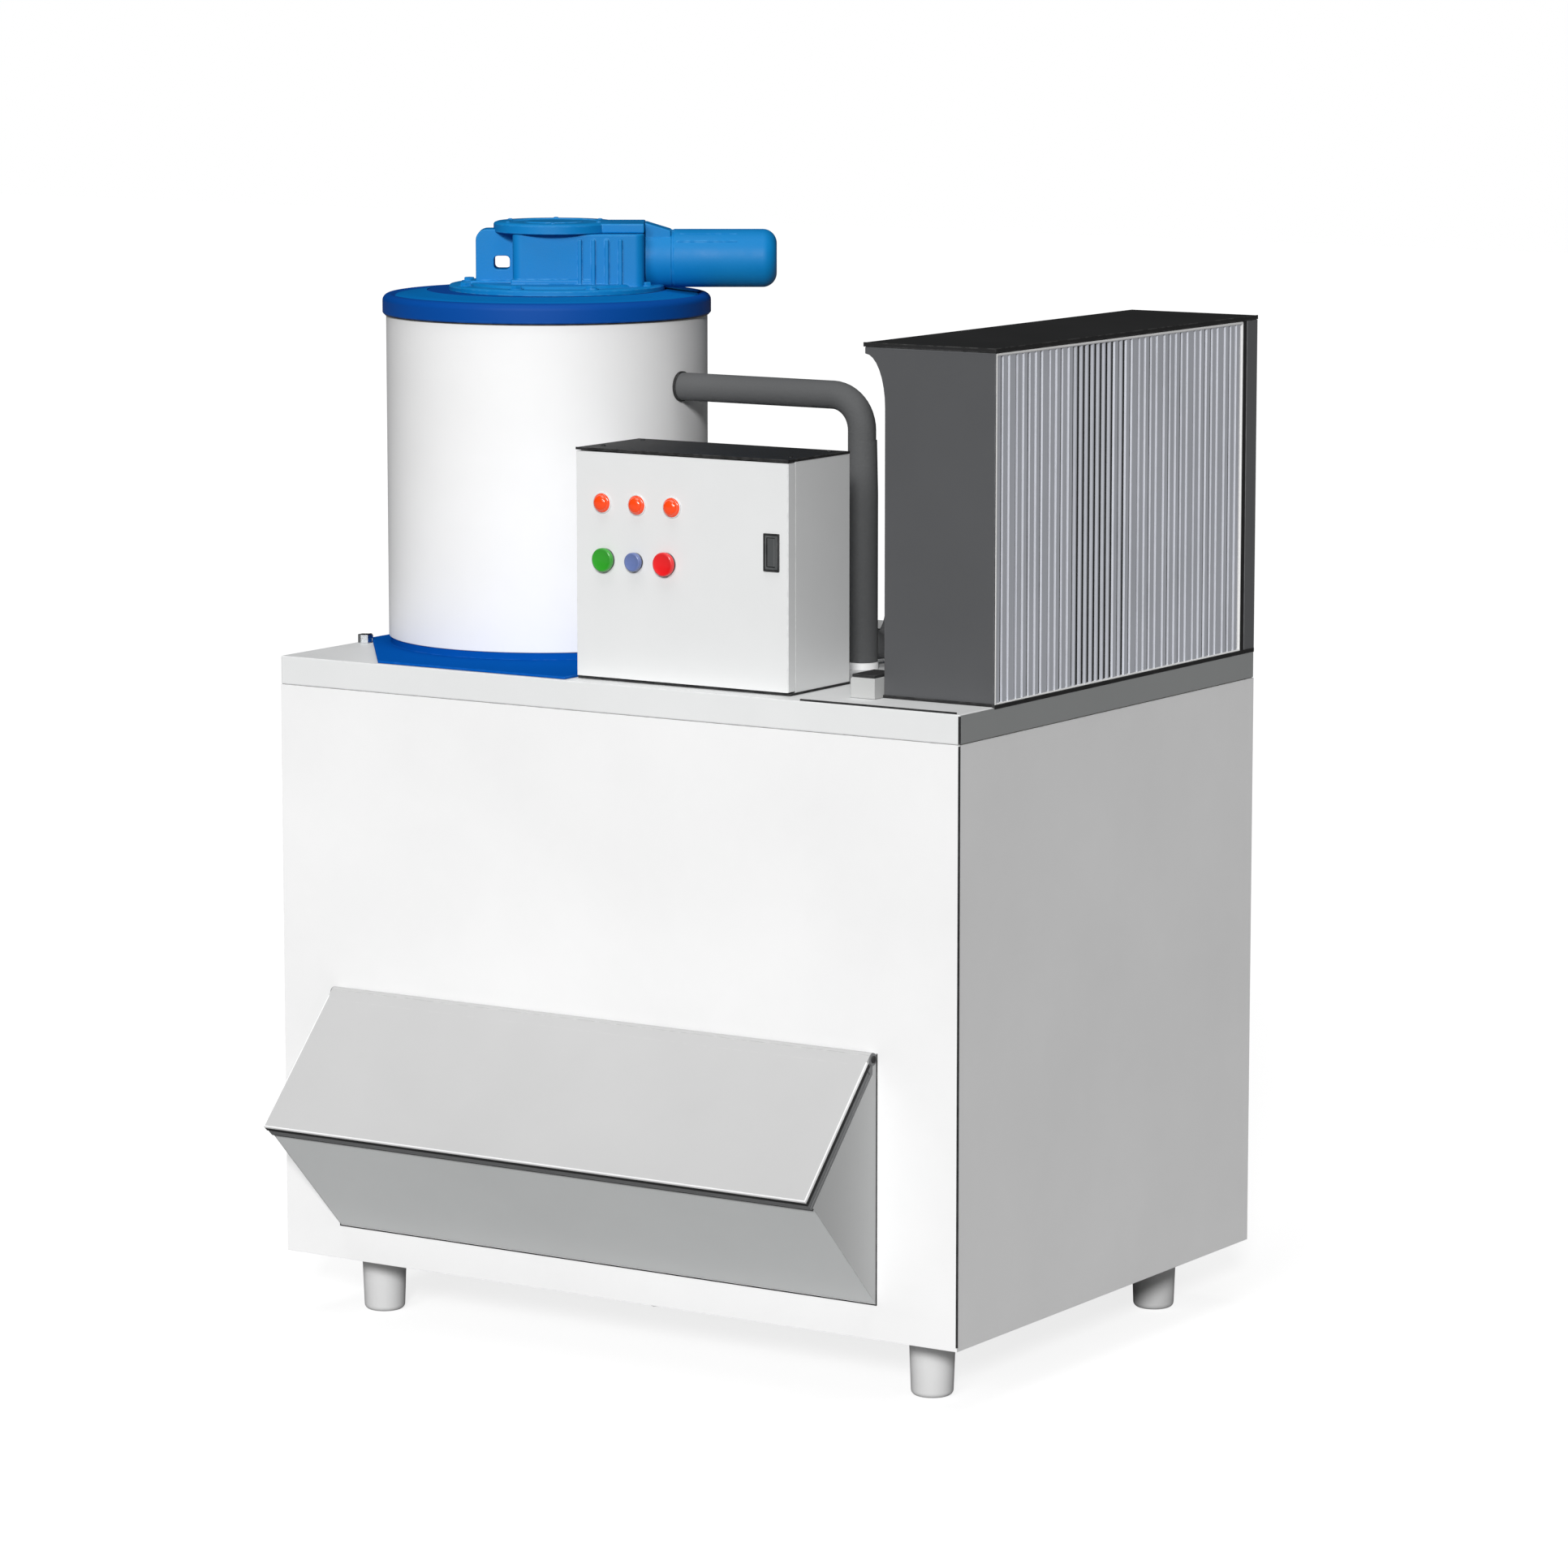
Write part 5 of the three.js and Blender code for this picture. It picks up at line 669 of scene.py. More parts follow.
FINISHES = (
    Finish("white_panel", (245, 245, 245), scuff_and_sheen=(205, 206, 208), scuff_and_sheen_amount=0.5, shine=0.3),
    Finish("pale_panel", (231, 232, 232), scuff_and_sheen=(190, 191, 193), scuff_and_sheen_amount=0.5, shine=0.3),
    Finish("deck_panel", (232, 233, 233), scuff_and_sheen=(170, 171, 173), scuff_and_sheen_amount=0.5, shine=0.3),
    # lid_panel: a grey that paints shade on the lid's white sheet, with a lighter edge colour that paints a
    # highlight along its rim.
    Finish("lid_panel", (195, 195, 195), scuff_and_sheen=(225, 225, 225), scuff_and_sheen_amount=0.6, shine=0.3),
    # grey_panel: greyer than the trough's white sheet, painted shade on its downward-facing front.
    Finish("grey_panel", (222, 224, 224), scuff_and_sheen=(140, 140, 140), scuff_and_sheen_amount=0.5),
    # trim_panel: a mid-grey paint; on the deck's right side it paints the shade that falls on that side.
    Finish("trim_panel", (156, 158, 158), scuff_and_sheen=(110, 110, 110), scuff_and_sheen_amount=0.5, shine=0.3),
    # A dark grey that paints the shade under the lid: on the lid's core, the trough's rim and the hinge's
    # caps and stands.
    Finish("lid_shade_grey", (120, 121, 122), roughness=0.6, scuff_and_sheen=(90, 90, 90), scuff_and_sheen_amount=0.4, shine=0.2,
           slot="trim_panel"),
    # A darker grey that paints the shade on the trough's two end faces.
    Finish("cheek_shade_grey", (180, 181, 181), scuff_and_sheen=(130, 130, 130), scuff_and_sheen_amount=0.4, shine=0.3,
           slot="grey_panel"),
    Finish("leg_plastic", (222, 222, 222), Grain.MOULDED, 0.4, coat=0.2),
    Finish("block_plastic", (190, 191, 190), Grain.MOULDED),
    Finish("steel", (196, 199, 202), Grain.BRUSHED, 0.3, metallic=1.0, scuff_and_sheen=(230, 230, 230)),
    Finish("foam", (226, 214, 172), Grain.CELLS, 0.9, relief=0.5),
    Finish("rubber", (24, 24, 25), Grain.MOULDED, 0.8),
    Finish("deep_blue", (4, 74, 158), scuff_and_sheen=(60, 120, 195), scuff_and_sheen_amount=0.5, shine=0.12),
    Finish("base_blue", (6, 84, 172), roughness=0.6, scuff_and_sheen=(60, 120, 195), scuff_and_sheen_amount=0.5, shine=0.0,
           slot="deep_blue"),
    # A lighter blue that paints a sheen on the cap's top dish.
    Finish("cap_sheen_blue", (5, 110, 184), roughness=0.55, scuff_and_sheen=(60, 120, 195), scuff_and_sheen_amount=0.4, shine=0.05,
           slot="bright_blue"),
    Finish("bright_blue", (5, 126, 194), Grain.CAST, relief=0.22, scuff_and_sheen=(90, 170, 225), scuff_and_sheen_amount=0.6,
           shine=0.25),
    Finish("dark_panel", (82, 83, 85), scuff_and_sheen=(120, 121, 124), scuff_and_sheen_amount=0.6),
    # A lighter copy of dark_panel that paints light onto the rear cover's shaded side.
    Finish("cover_lit_grey", (98, 99, 101), scuff_and_sheen=(130, 131, 134), scuff_and_sheen_amount=0.6, slot="dark_panel"),
    Finish("black_metal", (20, 21, 22), roughness=0.62, scuff_and_sheen=(60, 61, 63), scuff_and_sheen_amount=0.4),
    Finish("black_plastic", (26, 26, 27), Grain.MOULDED, 0.45),
    Finish("grey_plastic", (76, 78, 79), Grain.MOULDED),
    Finish("pipe_foam", (89, 90, 91), Grain.CELLS, 0.85, relief=0.3, scuff_and_sheen_amount=0.1),
    Finish("fins", (209, 212, 220), Grain.BRUSHED, 0.45, metallic=0.25),
    Finish("copper", (198, 124, 84), Grain.BRUSHED, 0.32, metallic=1.0, scuff_and_sheen=(230, 170, 140)),
    Finish("lamp_red", (238, 70, 20), Grain.MOULDED, 0.2, coat=0.8, relief=0.03, glow=0.25),
    Finish("button_green", (48, 162, 40), Grain.MOULDED, 0.3, coat=0.5, relief=0.03),
    Finish("button_blue", (104, 122, 176), Grain.MOULDED, 0.3, coat=0.5, relief=0.03),
    Finish("button_red", (238, 26, 30), Grain.MOULDED, 0.3, coat=0.5, relief=0.03),
    Finish("water_plastic", (165, 173, 178), Grain.MOULDED, 0.45),
)


class Paint:
    """The finishes, each built once, and the one place that puts them on pieces."""

    shelf: dict[str, bpy.types.Material] = {}
    slots = {finish.name: finish.slot or finish.name for finish in FINISHES}

    @classmethod
    def stock(cls) -> None:
        """Build every finish and put it on the frame's own sub-parts."""
        cls.shelf = {finish.name: finish.build() for finish in FINISHES}
        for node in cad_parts.values():
            for index, material in enumerate(node.data.materials):
                node.data.materials[index] = cls.shelf[material.name]


def dress(piece: Piece, finish: str, body: str = "cabinet", nodes: Sequence[str] = ()) -> Piece:
    """Finish a piece, hang it on its body and hide the sub-parts that it stands for.

    Args:
        piece: the finished shape, in place.
        finish: the finish's name.
        body: the body that it moves with.
        nodes: the sub-parts that it stands for.

    Returns:
        The same piece.
    """
    coats = piece.data.materials
    if not coats:
        coats.append(None)
    for index in range(len(coats)):
        coats[index] = Paint.shelf[finish]
    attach(piece, body)
    if nodes:
        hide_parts(*nodes)
    return piece


class Studio:
    """The camera, the lights and the pale floor, in metres."""

    CAMERA_PLACE = (4.17213558, -6.34174394, 1.83611049)
    CAMERA_RIGHT = (0.83985, 0.54281, 0.0)
    CAMERA_UP = (-0.08106, 0.12542, 0.98879)
    CAMERA_BACK = (0.53673, -0.83043, 0.14934)
    LENS = 140.1518             # of a 36 mm wide sensor
    WHITE = (1.0, 1.0, 1.0, 1.0)
    FLOOR_GREY = (0.5, 0.5, 0.5, 1.0)
    FLOOR_GLOW = 2.7            # to the camera, so that only the shadow shows
    FLOOR_GLOW_SHARE = 0.30
    ROOM_LIGHT = (0.0, 0.05)    # from the left to the right

    @classmethod
    def set_up(cls) -> None:
        """Build the whole studio."""
        bpy.context.scene.view_settings.view_transform = "Standard"
        cls.camera()
        cls.surroundings()
        cls.sun("key_light", (0.465, -0.81, 0.36), 2.05, 8.0)
        cls.sun("left_light", (0.14, -0.90, 0.40), 1.0, 20.0)
        cls.sun("top_light", (0.0, -0.20, 0.98), 1.0, 40.0)
        cls.floor()

    @classmethod
    def camera(cls) -> None:
        """Place the camera where the photograph was taken from."""
        Bench.drop_everything()
        bpy.ops.object.camera_add(location=cls.CAMERA_PLACE)
        camera = bpy.context.object
        camera.name = "portrait_camera"
        axes = Matrix((cls.CAMERA_RIGHT, cls.CAMERA_UP, cls.CAMERA_BACK)).transposed()
        camera.rotation_euler = axes.to_euler()
        camera.data.sensor_width = 36.0
        camera.data.lens = cls.LENS
        camera.data.clip_end = 60.0
        bpy.context.scene.camera = camera

    @classmethod
    def surroundings(cls) -> None:
        """Fill the room with soft light, stronger from the right, plain white to the camera."""
        world = bpy.context.scene.world = bpy.data.worlds.new("pale_room")
        wire = Wiring.on(world)
        ways = wire.add("SeparateXYZ", {0: wire.add("TexCoord", {}).outputs["Generated"]})
        side = wire.span(ways.outputs["X"], (-1.0, 1.0), cls.ROOM_LIGHT)
        seen = wire.add("LightPath", {}).outputs["Is Camera Ray"]
        light = wire.add("Background", {"Color": cls.WHITE,
                                        "Strength": wire.span(seen, (0.0, 1.0), (side, 1.0))})
        wire.add("OutputWorld", {"Surface": light.outputs[0]})

    @staticmethod
    def sun(name: str, towards: Place, strength: float, spread: float) -> None:
        """Add a soft light from far away.

        Args:
            name: the light's name.
            towards: the direction in which the light stands.
            strength: its strength.
            spread: its width in degrees, which softens the shadows.
        """
        Bench.drop_everything()
        bpy.ops.object.light_add(type="SUN", location=Vector(towards) * 6)
        light = bpy.context.object
        light.name = name
        light.rotation_euler = Vector(towards).to_track_quat("Z", "Y").to_euler()
        light.data.energy = strength
        light.data.angle = math.radians(spread)

    @classmethod
    def floor(cls) -> None:
        """Lay the pale floor, which takes the machine's shadow."""
        Bench.drop_everything()
        bpy.ops.mesh.primitive_plane_add(size=40, location=(0, 0, 0))
        ground = Bench.settle(bpy.context.object, "studio_floor")
        material = bpy.data.materials.new("pale_floor")
        wire = Wiring.on(material)
        seen = wire.add("LightPath", {}).outputs["Is Camera Ray"]
        matt = wire.add("BsdfDiffuse", {"Color": cls.FLOOR_GREY})
        glow = wire.add("Emission", {"Color": cls.WHITE,
                                     "Strength": wire.span(seen, (0.0, 1.0), (0.0, cls.FLOOR_GLOW))})
        blend = wire.add("MixShader", {0: cls.FLOOR_GLOW_SHARE, 1: matt.outputs[0], 2: glow.outputs[0]})
        wire.add("OutputMaterial", {"Surface": blend.outputs[0]})
        ground.data.materials.append(material)


def strips(name: str, finish: str, edge: float, spans: Iterable[tuple[Place, Place]],
           body: str = "cabinet", segments: int = 2) -> Piece:
    """Model rounded strips between pairs of corners, join them and dress them.

    Args:
        name: the piece's name.
        finish: its finish.
        edge: how far the strips' edges are rounded.
        spans: each strip's lowest and highest corner.
        body: the body that they move with.
        segments: how many faces make a round.

    Returns:
        The piece.
    """
    parts = [Bench.box(name, low, high, edge, segments) for low, high in spans]
    return dress(Bench.joined(name, parts), finish, body)


@dataclass(frozen=True)
class Refined:
    """A sub-part that is modelled again with rounded edges.

    Attributes:
        node: the sub-part's name.
        finish: its finish.
        width: how far the rounds reach.
        body: the body that it moves with.
    """

    node: str
    finish: str
    width: float
    body: str = "cabinet"

    def build(self) -> None:
        """Model the sub-part again and put it in the frame's place."""
        piece = Bench.rounded(Bench.copy_of(self.node, f"{self.node}_rounded"), self.width)
        dress(piece, self.finish, self.body, (self.node,))


REFINED = (
    Refined("bin_outer_shell", "white_panel", 2.5),
    Refined("deck_tray", "deck_panel", 2.0),
    # The trough's grey is painted shade on its white sheet.
    Refined("hopper_trough", "grey_panel", 0.8),
    Refined("evaporator_base", "base_blue", 0.8),
    Refined("control_box", "pale_panel", 0.6),
    Refined("control_box_top", "black_metal", 1.0),
    Refined("control_door", "pale_panel", 1.2, "door"),
    Refined("support_block", "block_plastic", 0.8),
    Refined("support_block_pad", "rubber", 0.8),
    Refined("condenser_front_plate", "dark_panel", 0.7),
    # The rear cover's lighter grey is painted light on its shaded side.
    Refined("condenser_rear_cover", "cover_lit_grey", 0.7),
    Refined("condenser_top_plate", "black_metal", 1.5),
    Refined("water_tank", "water_plastic", 1.5),
    # The latch frame's black is painted shade in the latch's recess, over grey plastic.
    Refined("door_latch_frame", "black_plastic", 0.8, "door"),
    Refined("door_latch_paddle", "grey_plastic", 0.6, "paddle"),
)


def arc(across: float, up: float, radius: float, start: float, end: float, steps: int) -> Profile:
    """Give the profile points of an arc.

    Args:
        across: the arc centre's distance from the lathe's axis.
        up: the arc centre's height.
        radius: the arc's radius.
        start: where it starts, in degrees from outwards, anticlockwise.
        end: where it ends.
        steps: how many straight steps it takes.

    Returns:
        Radius and height pairs.
    """
    angles = [math.radians(start + (end - start) * step / steps) for step in range(steps + 1)]
    return [(across + radius * math.cos(angle), up + radius * math.sin(angle)) for angle in angles]


def on_circle(count: int, first: float, radius: float, middle: float, height: float) -> list[Place]:
    """Give places that share out a level circle.

    Args:
        count: how many.
        first: the first one's angle, in degrees.
        radius: the circle's radius.
        middle: how far along X its middle is.
        height: its height.

    Returns:
        The places.
    """
    angles = [math.radians(first + 360 / count * index) for index in range(count)]
    return [(middle + radius * math.cos(angle), radius * math.sin(angle), height) for angle in angles]


def bolt_head(across: float, height: float, place: Place) -> Piece:
    """Model an upright hexagon bolt head on its washer.

    Args:
        across: the head's width.
        height: its height.
        place: the middle of its seat.

    Returns:
        The piece.
    """
    low, wide = height * 0.2, across * 0.72
    washer = Bench.turned("washer", [(0, 0), (wide, 0), (wide, low), (0, low)], place, sides=24, crease=0)
    head = Bench.turned("bolt_head", [
        (0, low), (across * 0.55, low), (across * 0.55, height * 0.85), (across * 0.46, height),
        (0, height)], place, sides=6, crease=0)
    return Bench.joined("bolt", (washer, head))


def screw_head(radius: float, place: Place, axis: Axis) -> Piece:
    """Model a round screw head with a cross recess.

    Args:
        radius: the head's radius.
        place: the middle of its seat.
        axis: the direction it faces.

    Returns:
        The piece.
    """
    head = Bench.turned("screw_head", [(0, 0), (radius, 0), (radius * 0.92, radius * 0.3),
                                       (radius * 0.55, radius * 0.5), (0, radius * 0.55)],
                        (0, 0, 0), sides=24, crease=0)
    arm, slot, floor = radius * 0.55, radius * 0.12, radius * 0.3
    Bench.cut(head, (-arm, -slot, floor), (arm, slot, radius))
    Bench.cut(head, (-slot, -arm, floor), (slot, arm, radius))
    return Bench.smooth(Bench.placed(head, place, axis.upright_turn))


def screws(name: str, finish: str, radius: float, axis: Axis, places: Iterable[Place]) -> Piece:
    """Set screw heads at places, as one piece on the cabinet.

    Args:
        name: the piece's name.
        finish: its finish.
        radius: a head's radius.
        axis: the direction that they face.
        places: the middles of their seats.

    Returns:
        The piece.
    """
    return dress(Bench.joined(name, [screw_head(radius, place, axis) for place in places]), finish)


class Drum:
    """The insulated drum and its cap."""

    CENTRE = (-291, 9, 0)
    RADIUS = 204
    WALL = 1.5
    FOOT = 860.6
    TOP = 1282
    SEAM_HEADING = math.radians(120)
    RIVETS, RIVET_PITCH = 11, 36
    CAP_RADIUS = 208.5
    CAP_BORE = 204.3            # just outside the skin
    CAP_LIP = 1271.0
    CAP_ROLL = 9
    CROWN_RADIUS, CROWN_HEIGHT = 150, 1300
    SHAFT_BORE = 26
    SIDES = 144

    def build(self) -> None:
        """Model the skin, its seam and the cap."""
        self.skin()
        self.cap()

    def skin(self) -> None:
        """Turn the skin with a soft lower edge, and set the riveted lap seam that closes it."""
        foot, out = self.FOOT, self.RADIUS
        inside = out - self.WALL
        shell = Bench.turned("drum_skin_round", [
            (inside, foot), (out - 0.5, foot), (out, foot + 0.6), (out, foot + 4), (out, self.TOP),
            (inside, self.TOP), (inside, foot)], self.CENTRE, sides=self.SIDES)
        dress(shell, "white_panel", nodes=("drum_skin",))
        seam = Bench.box("drum_lap_seam", (out - 0.6, -9, foot + 18), (out + 0.9, 9, self.TOP - 16), 0.4)
        rivet = Bench.turned("drum_rivet", [(0, 0), (2.4, 0), (2.0, 0.9), (0, 1.3)],
                             (out + 0.8, 0, foot + 30), Axis.X, 16)
        rivets = Bench.copies(rivet, [(0, 0, step * self.RIVET_PITCH) for step in range(self.RIVETS)],
                              "drum_rivets")
        whole = Bench.joined("drum_seam", (seam, rivets))
        dress(Bench.placed(whole, self.CENTRE, (0, 0, self.SEAM_HEADING)), "white_panel")

    def cap(self) -> None:
        """Turn the cap with its rolled rim, the dish inside the rim in a lighter blue that paints a sheen on
        its top, and the seal.
        """
        bore, lip, out, roll = self.CAP_BORE, self.CAP_LIP, self.CAP_RADIUS, self.CAP_ROLL
        crown, top, shaft = self.CROWN_RADIUS, self.CROWN_HEIGHT, self.SHAFT_BORE
        for name, finish, crease, nodes, profile in (
                ("drum_cap_round", "deep_blue", 28, ("drum_cap",), [
                    (bore, lip), (out - 1, lip), (out, lip + 1.5), *arc(out - roll, 1286.8, roll, 0, 100, 12),
                    (193, 1293.2), (190, 1292.8), (172, 1295.2), (crown + 4, top - 2.2), (crown, top),
                    (shaft, top), (shaft, top - 3), (crown, top - 3), (bore, 1282.3), (bore, lip)]),
                ("drum_cap_dish", "cap_sheen_blue", 40, (), [
                    (152, 1298.4), (190, 1292.0), (192.5, 1293.0), (191, 1294.4), (174, 1296.6),
                    (156.5, 1299.4), (152, 1300.2), (152, 1298.4)]),
                ("drum_cap_seal", "black_plastic", 40, (), [
                    (204.2, lip - 1.6), (206.0, lip - 1.6), (206.6, lip - 0.6), (206.6, lip + 0.4),
                    (204.2, lip + 0.4), (204.2, lip - 1.6)])):
            piece = Bench.turned(name, profile, self.CENTRE, sides=self.SIDES, crease=crease)
            dress(piece, finish, nodes=nodes)


class GearedMotor:
    """The geared motor on the drum's cap, modelled along +X and turned to its heading."""

    HEADING = math.radians(33)
    FOOT = 1300.3
    SEAT = 1307.3
    TOP = 1373
    COVER_TOP = 1386.5
    MOTOR_AXIS = (0, 0, 1339.5)
    MOTOR_START, MOTOR_END = 125.3, 292
    MOTOR_RADIUS, MOTOR_NOSE = 36.8, 18
    RIB_PITCH = 17

    def build(self) -> None:
        """Model the housing, the cover, the motor and the bolts."""
        for name, members, nodes in (
                ("gear_housing_cast", self.housing(), ("gear_housing",)),
                ("gear_cover_cast", self.cover(), ("gear_cover",)),
                ("motor_barrel", self.motor(), ("motor_housing",)),
                ("gear_bolts", self.bolts(), ())):
            whole = Bench.joined(name, members)
            dress(Bench.placed(whole, Drum.CENTRE, (0, 0, self.HEADING)), "bright_blue", nodes=nodes)

    def housing(self) -> list[Piece]:
        """Model the flange, the case with its ribs, and the lifting lug with its eye."""
        foot, seat, top = self.FOOT, self.SEAT, self.TOP
        flange = Bench.turned("flange", [
            (26.2, foot), (137, foot), (137, seat - 2), (135.5, seat - 0.4), (134, seat), (113, seat),
            (109, seat + 3), (26.2, seat + 3), (26.2, foot)], (13, 0, 0), sides=128)
        case = Bench.box("case", (-41, -62, seat - 3), (125, 62, top))
        Bench.soften(case, lambda one, two: abs(one.z - two.z) > 5, 12)
        Bench.rounded(case, 2.5, 4)
        ribs = [Bench.box("rib", (41.5 + self.RIB_PITCH * step, -67, seat - 2),
                          (46.5 + self.RIB_PITCH * step, 67, top - 6), 1.6, 4) for step in range(4)]
        lug = Bench.box("lug", (-89, -20, seat - 3), (-10, 20, top + 4))
        Bench.soften(lug, lambda one, two: max(one.x, two.x) < -88 and min(one.z, two.z) > 1350, 14)
        eye = Bench.box("eye", (-66, -50, 1326.5), (-46, 50, 1343.5), 5, 4)
        Bench.rounded(Bench.combine(lug, eye, "DIFFERENCE"), 1.6, 3, 40)
        lug_foot = Bench.box("lug_foot", (-97, -26, seat - 3), (-30, 26, seat + 5), 2.4, 4)
        band = Bench.box("case_band", (-43, -64, seat + 1), (60, 64, seat + 9), 2.4, 4)
        return [flange, case, *ribs, lug, lug_foot, band]

    def cover(self) -> list[Piece]:
        """Turn the round lid and model the tongue over the gear train."""
        low, high = self.TOP + 0.3, self.COVER_TOP
        disc = Bench.turned("cover_disc", [
            (0, low), (76, low), (77, low + 1), (77, high - 3), (75.5, high - 1.2), (72.5, high),
            (58, high), (56.5, high - 1.6), (37.5, high - 1.6), (36, high), (0, high)], (10, 0, 0), sides=96)
        return [disc, Bench.box("cover_tongue", (0, -46, low), (125, 46, high - 1), 2.2, 4)]

    def motor(self) -> list[Piece]:
        """Turn the barrel with its rounded end and its seam, and model the sloping neck."""
        start, end, radius, nose = self.MOTOR_START, self.MOTOR_END, self.MOTOR_RADIUS, self.MOTOR_NOSE
        barrel = Bench.turned("barrel", [
            (0, start), (radius - 1, start), (radius, start + 1), (radius, 158), (radius - 0.8, 159),
            (radius - 0.8, 161), (radius, 162), *arc(radius - nose, end - nose, nose, 0, 90, 12),
            (0, end)], self.MOTOR_AXIS, Axis.X, 96, 28)
        neck = Bench.box("neck", (start, -24, self.MOTOR_AXIS[2]), (158, 24, self.COVER_TOP - 1))
        Bench.shift(neck, lambda spot: spot.x > 150 and spot.z > 1360, (0, 0, -10))
        Bench.rounded(neck, 1.6)
        ribs = []
        for angle in (-52, -30, 30, 52):
            rib = Bench.box("barrel_rib", (166, -0.9, radius - 1.2), (242, 0.9, radius + 0.7), 0.5)
            ribs.append(Bench.placed(rib, self.MOTOR_AXIS, (math.radians(angle), 0, 0)))
        return [barrel, neck, *ribs]

    def bolts(self) -> list[Piece]:
        """Set the flange's bolts and the cover's screws."""
        return [*(bolt_head(13, 5, place) for place in on_circle(8, 22.5, 123, 13, self.SEAT)),
                *(screw_head(3.6, place, Axis.Z)
                  for place in on_circle(6, 30, 66, 10, self.COVER_TOP - 0.5))]


class Legs:
    """The four round feet."""

    def build(self) -> None:
        """Turn each foot anew with a soft lower edge and a groove under its flange."""
        for name in ("leg_front_left", "leg_front_right", "leg_rear_left", "leg_rear_right"):
            low, high = corners(name)
            top = high.z
            leg = Bench.turned(f"{name}_turned", [
                (0, 0.2), (18, 0.2), *arc(19, 7.2, 7, -88, 0, 8), (28.5, top - 9), (27.5, top - 7.5),
                (27.5, top - 5.5), (37.5, top - 4), (38, top - 3.4), (38, top), (0, top)],
                ((low.x + high.x) / 2, (low.y + high.y) / 2, 0), crease=30)
            dress(leg, "leg_plastic", nodes=(name,))


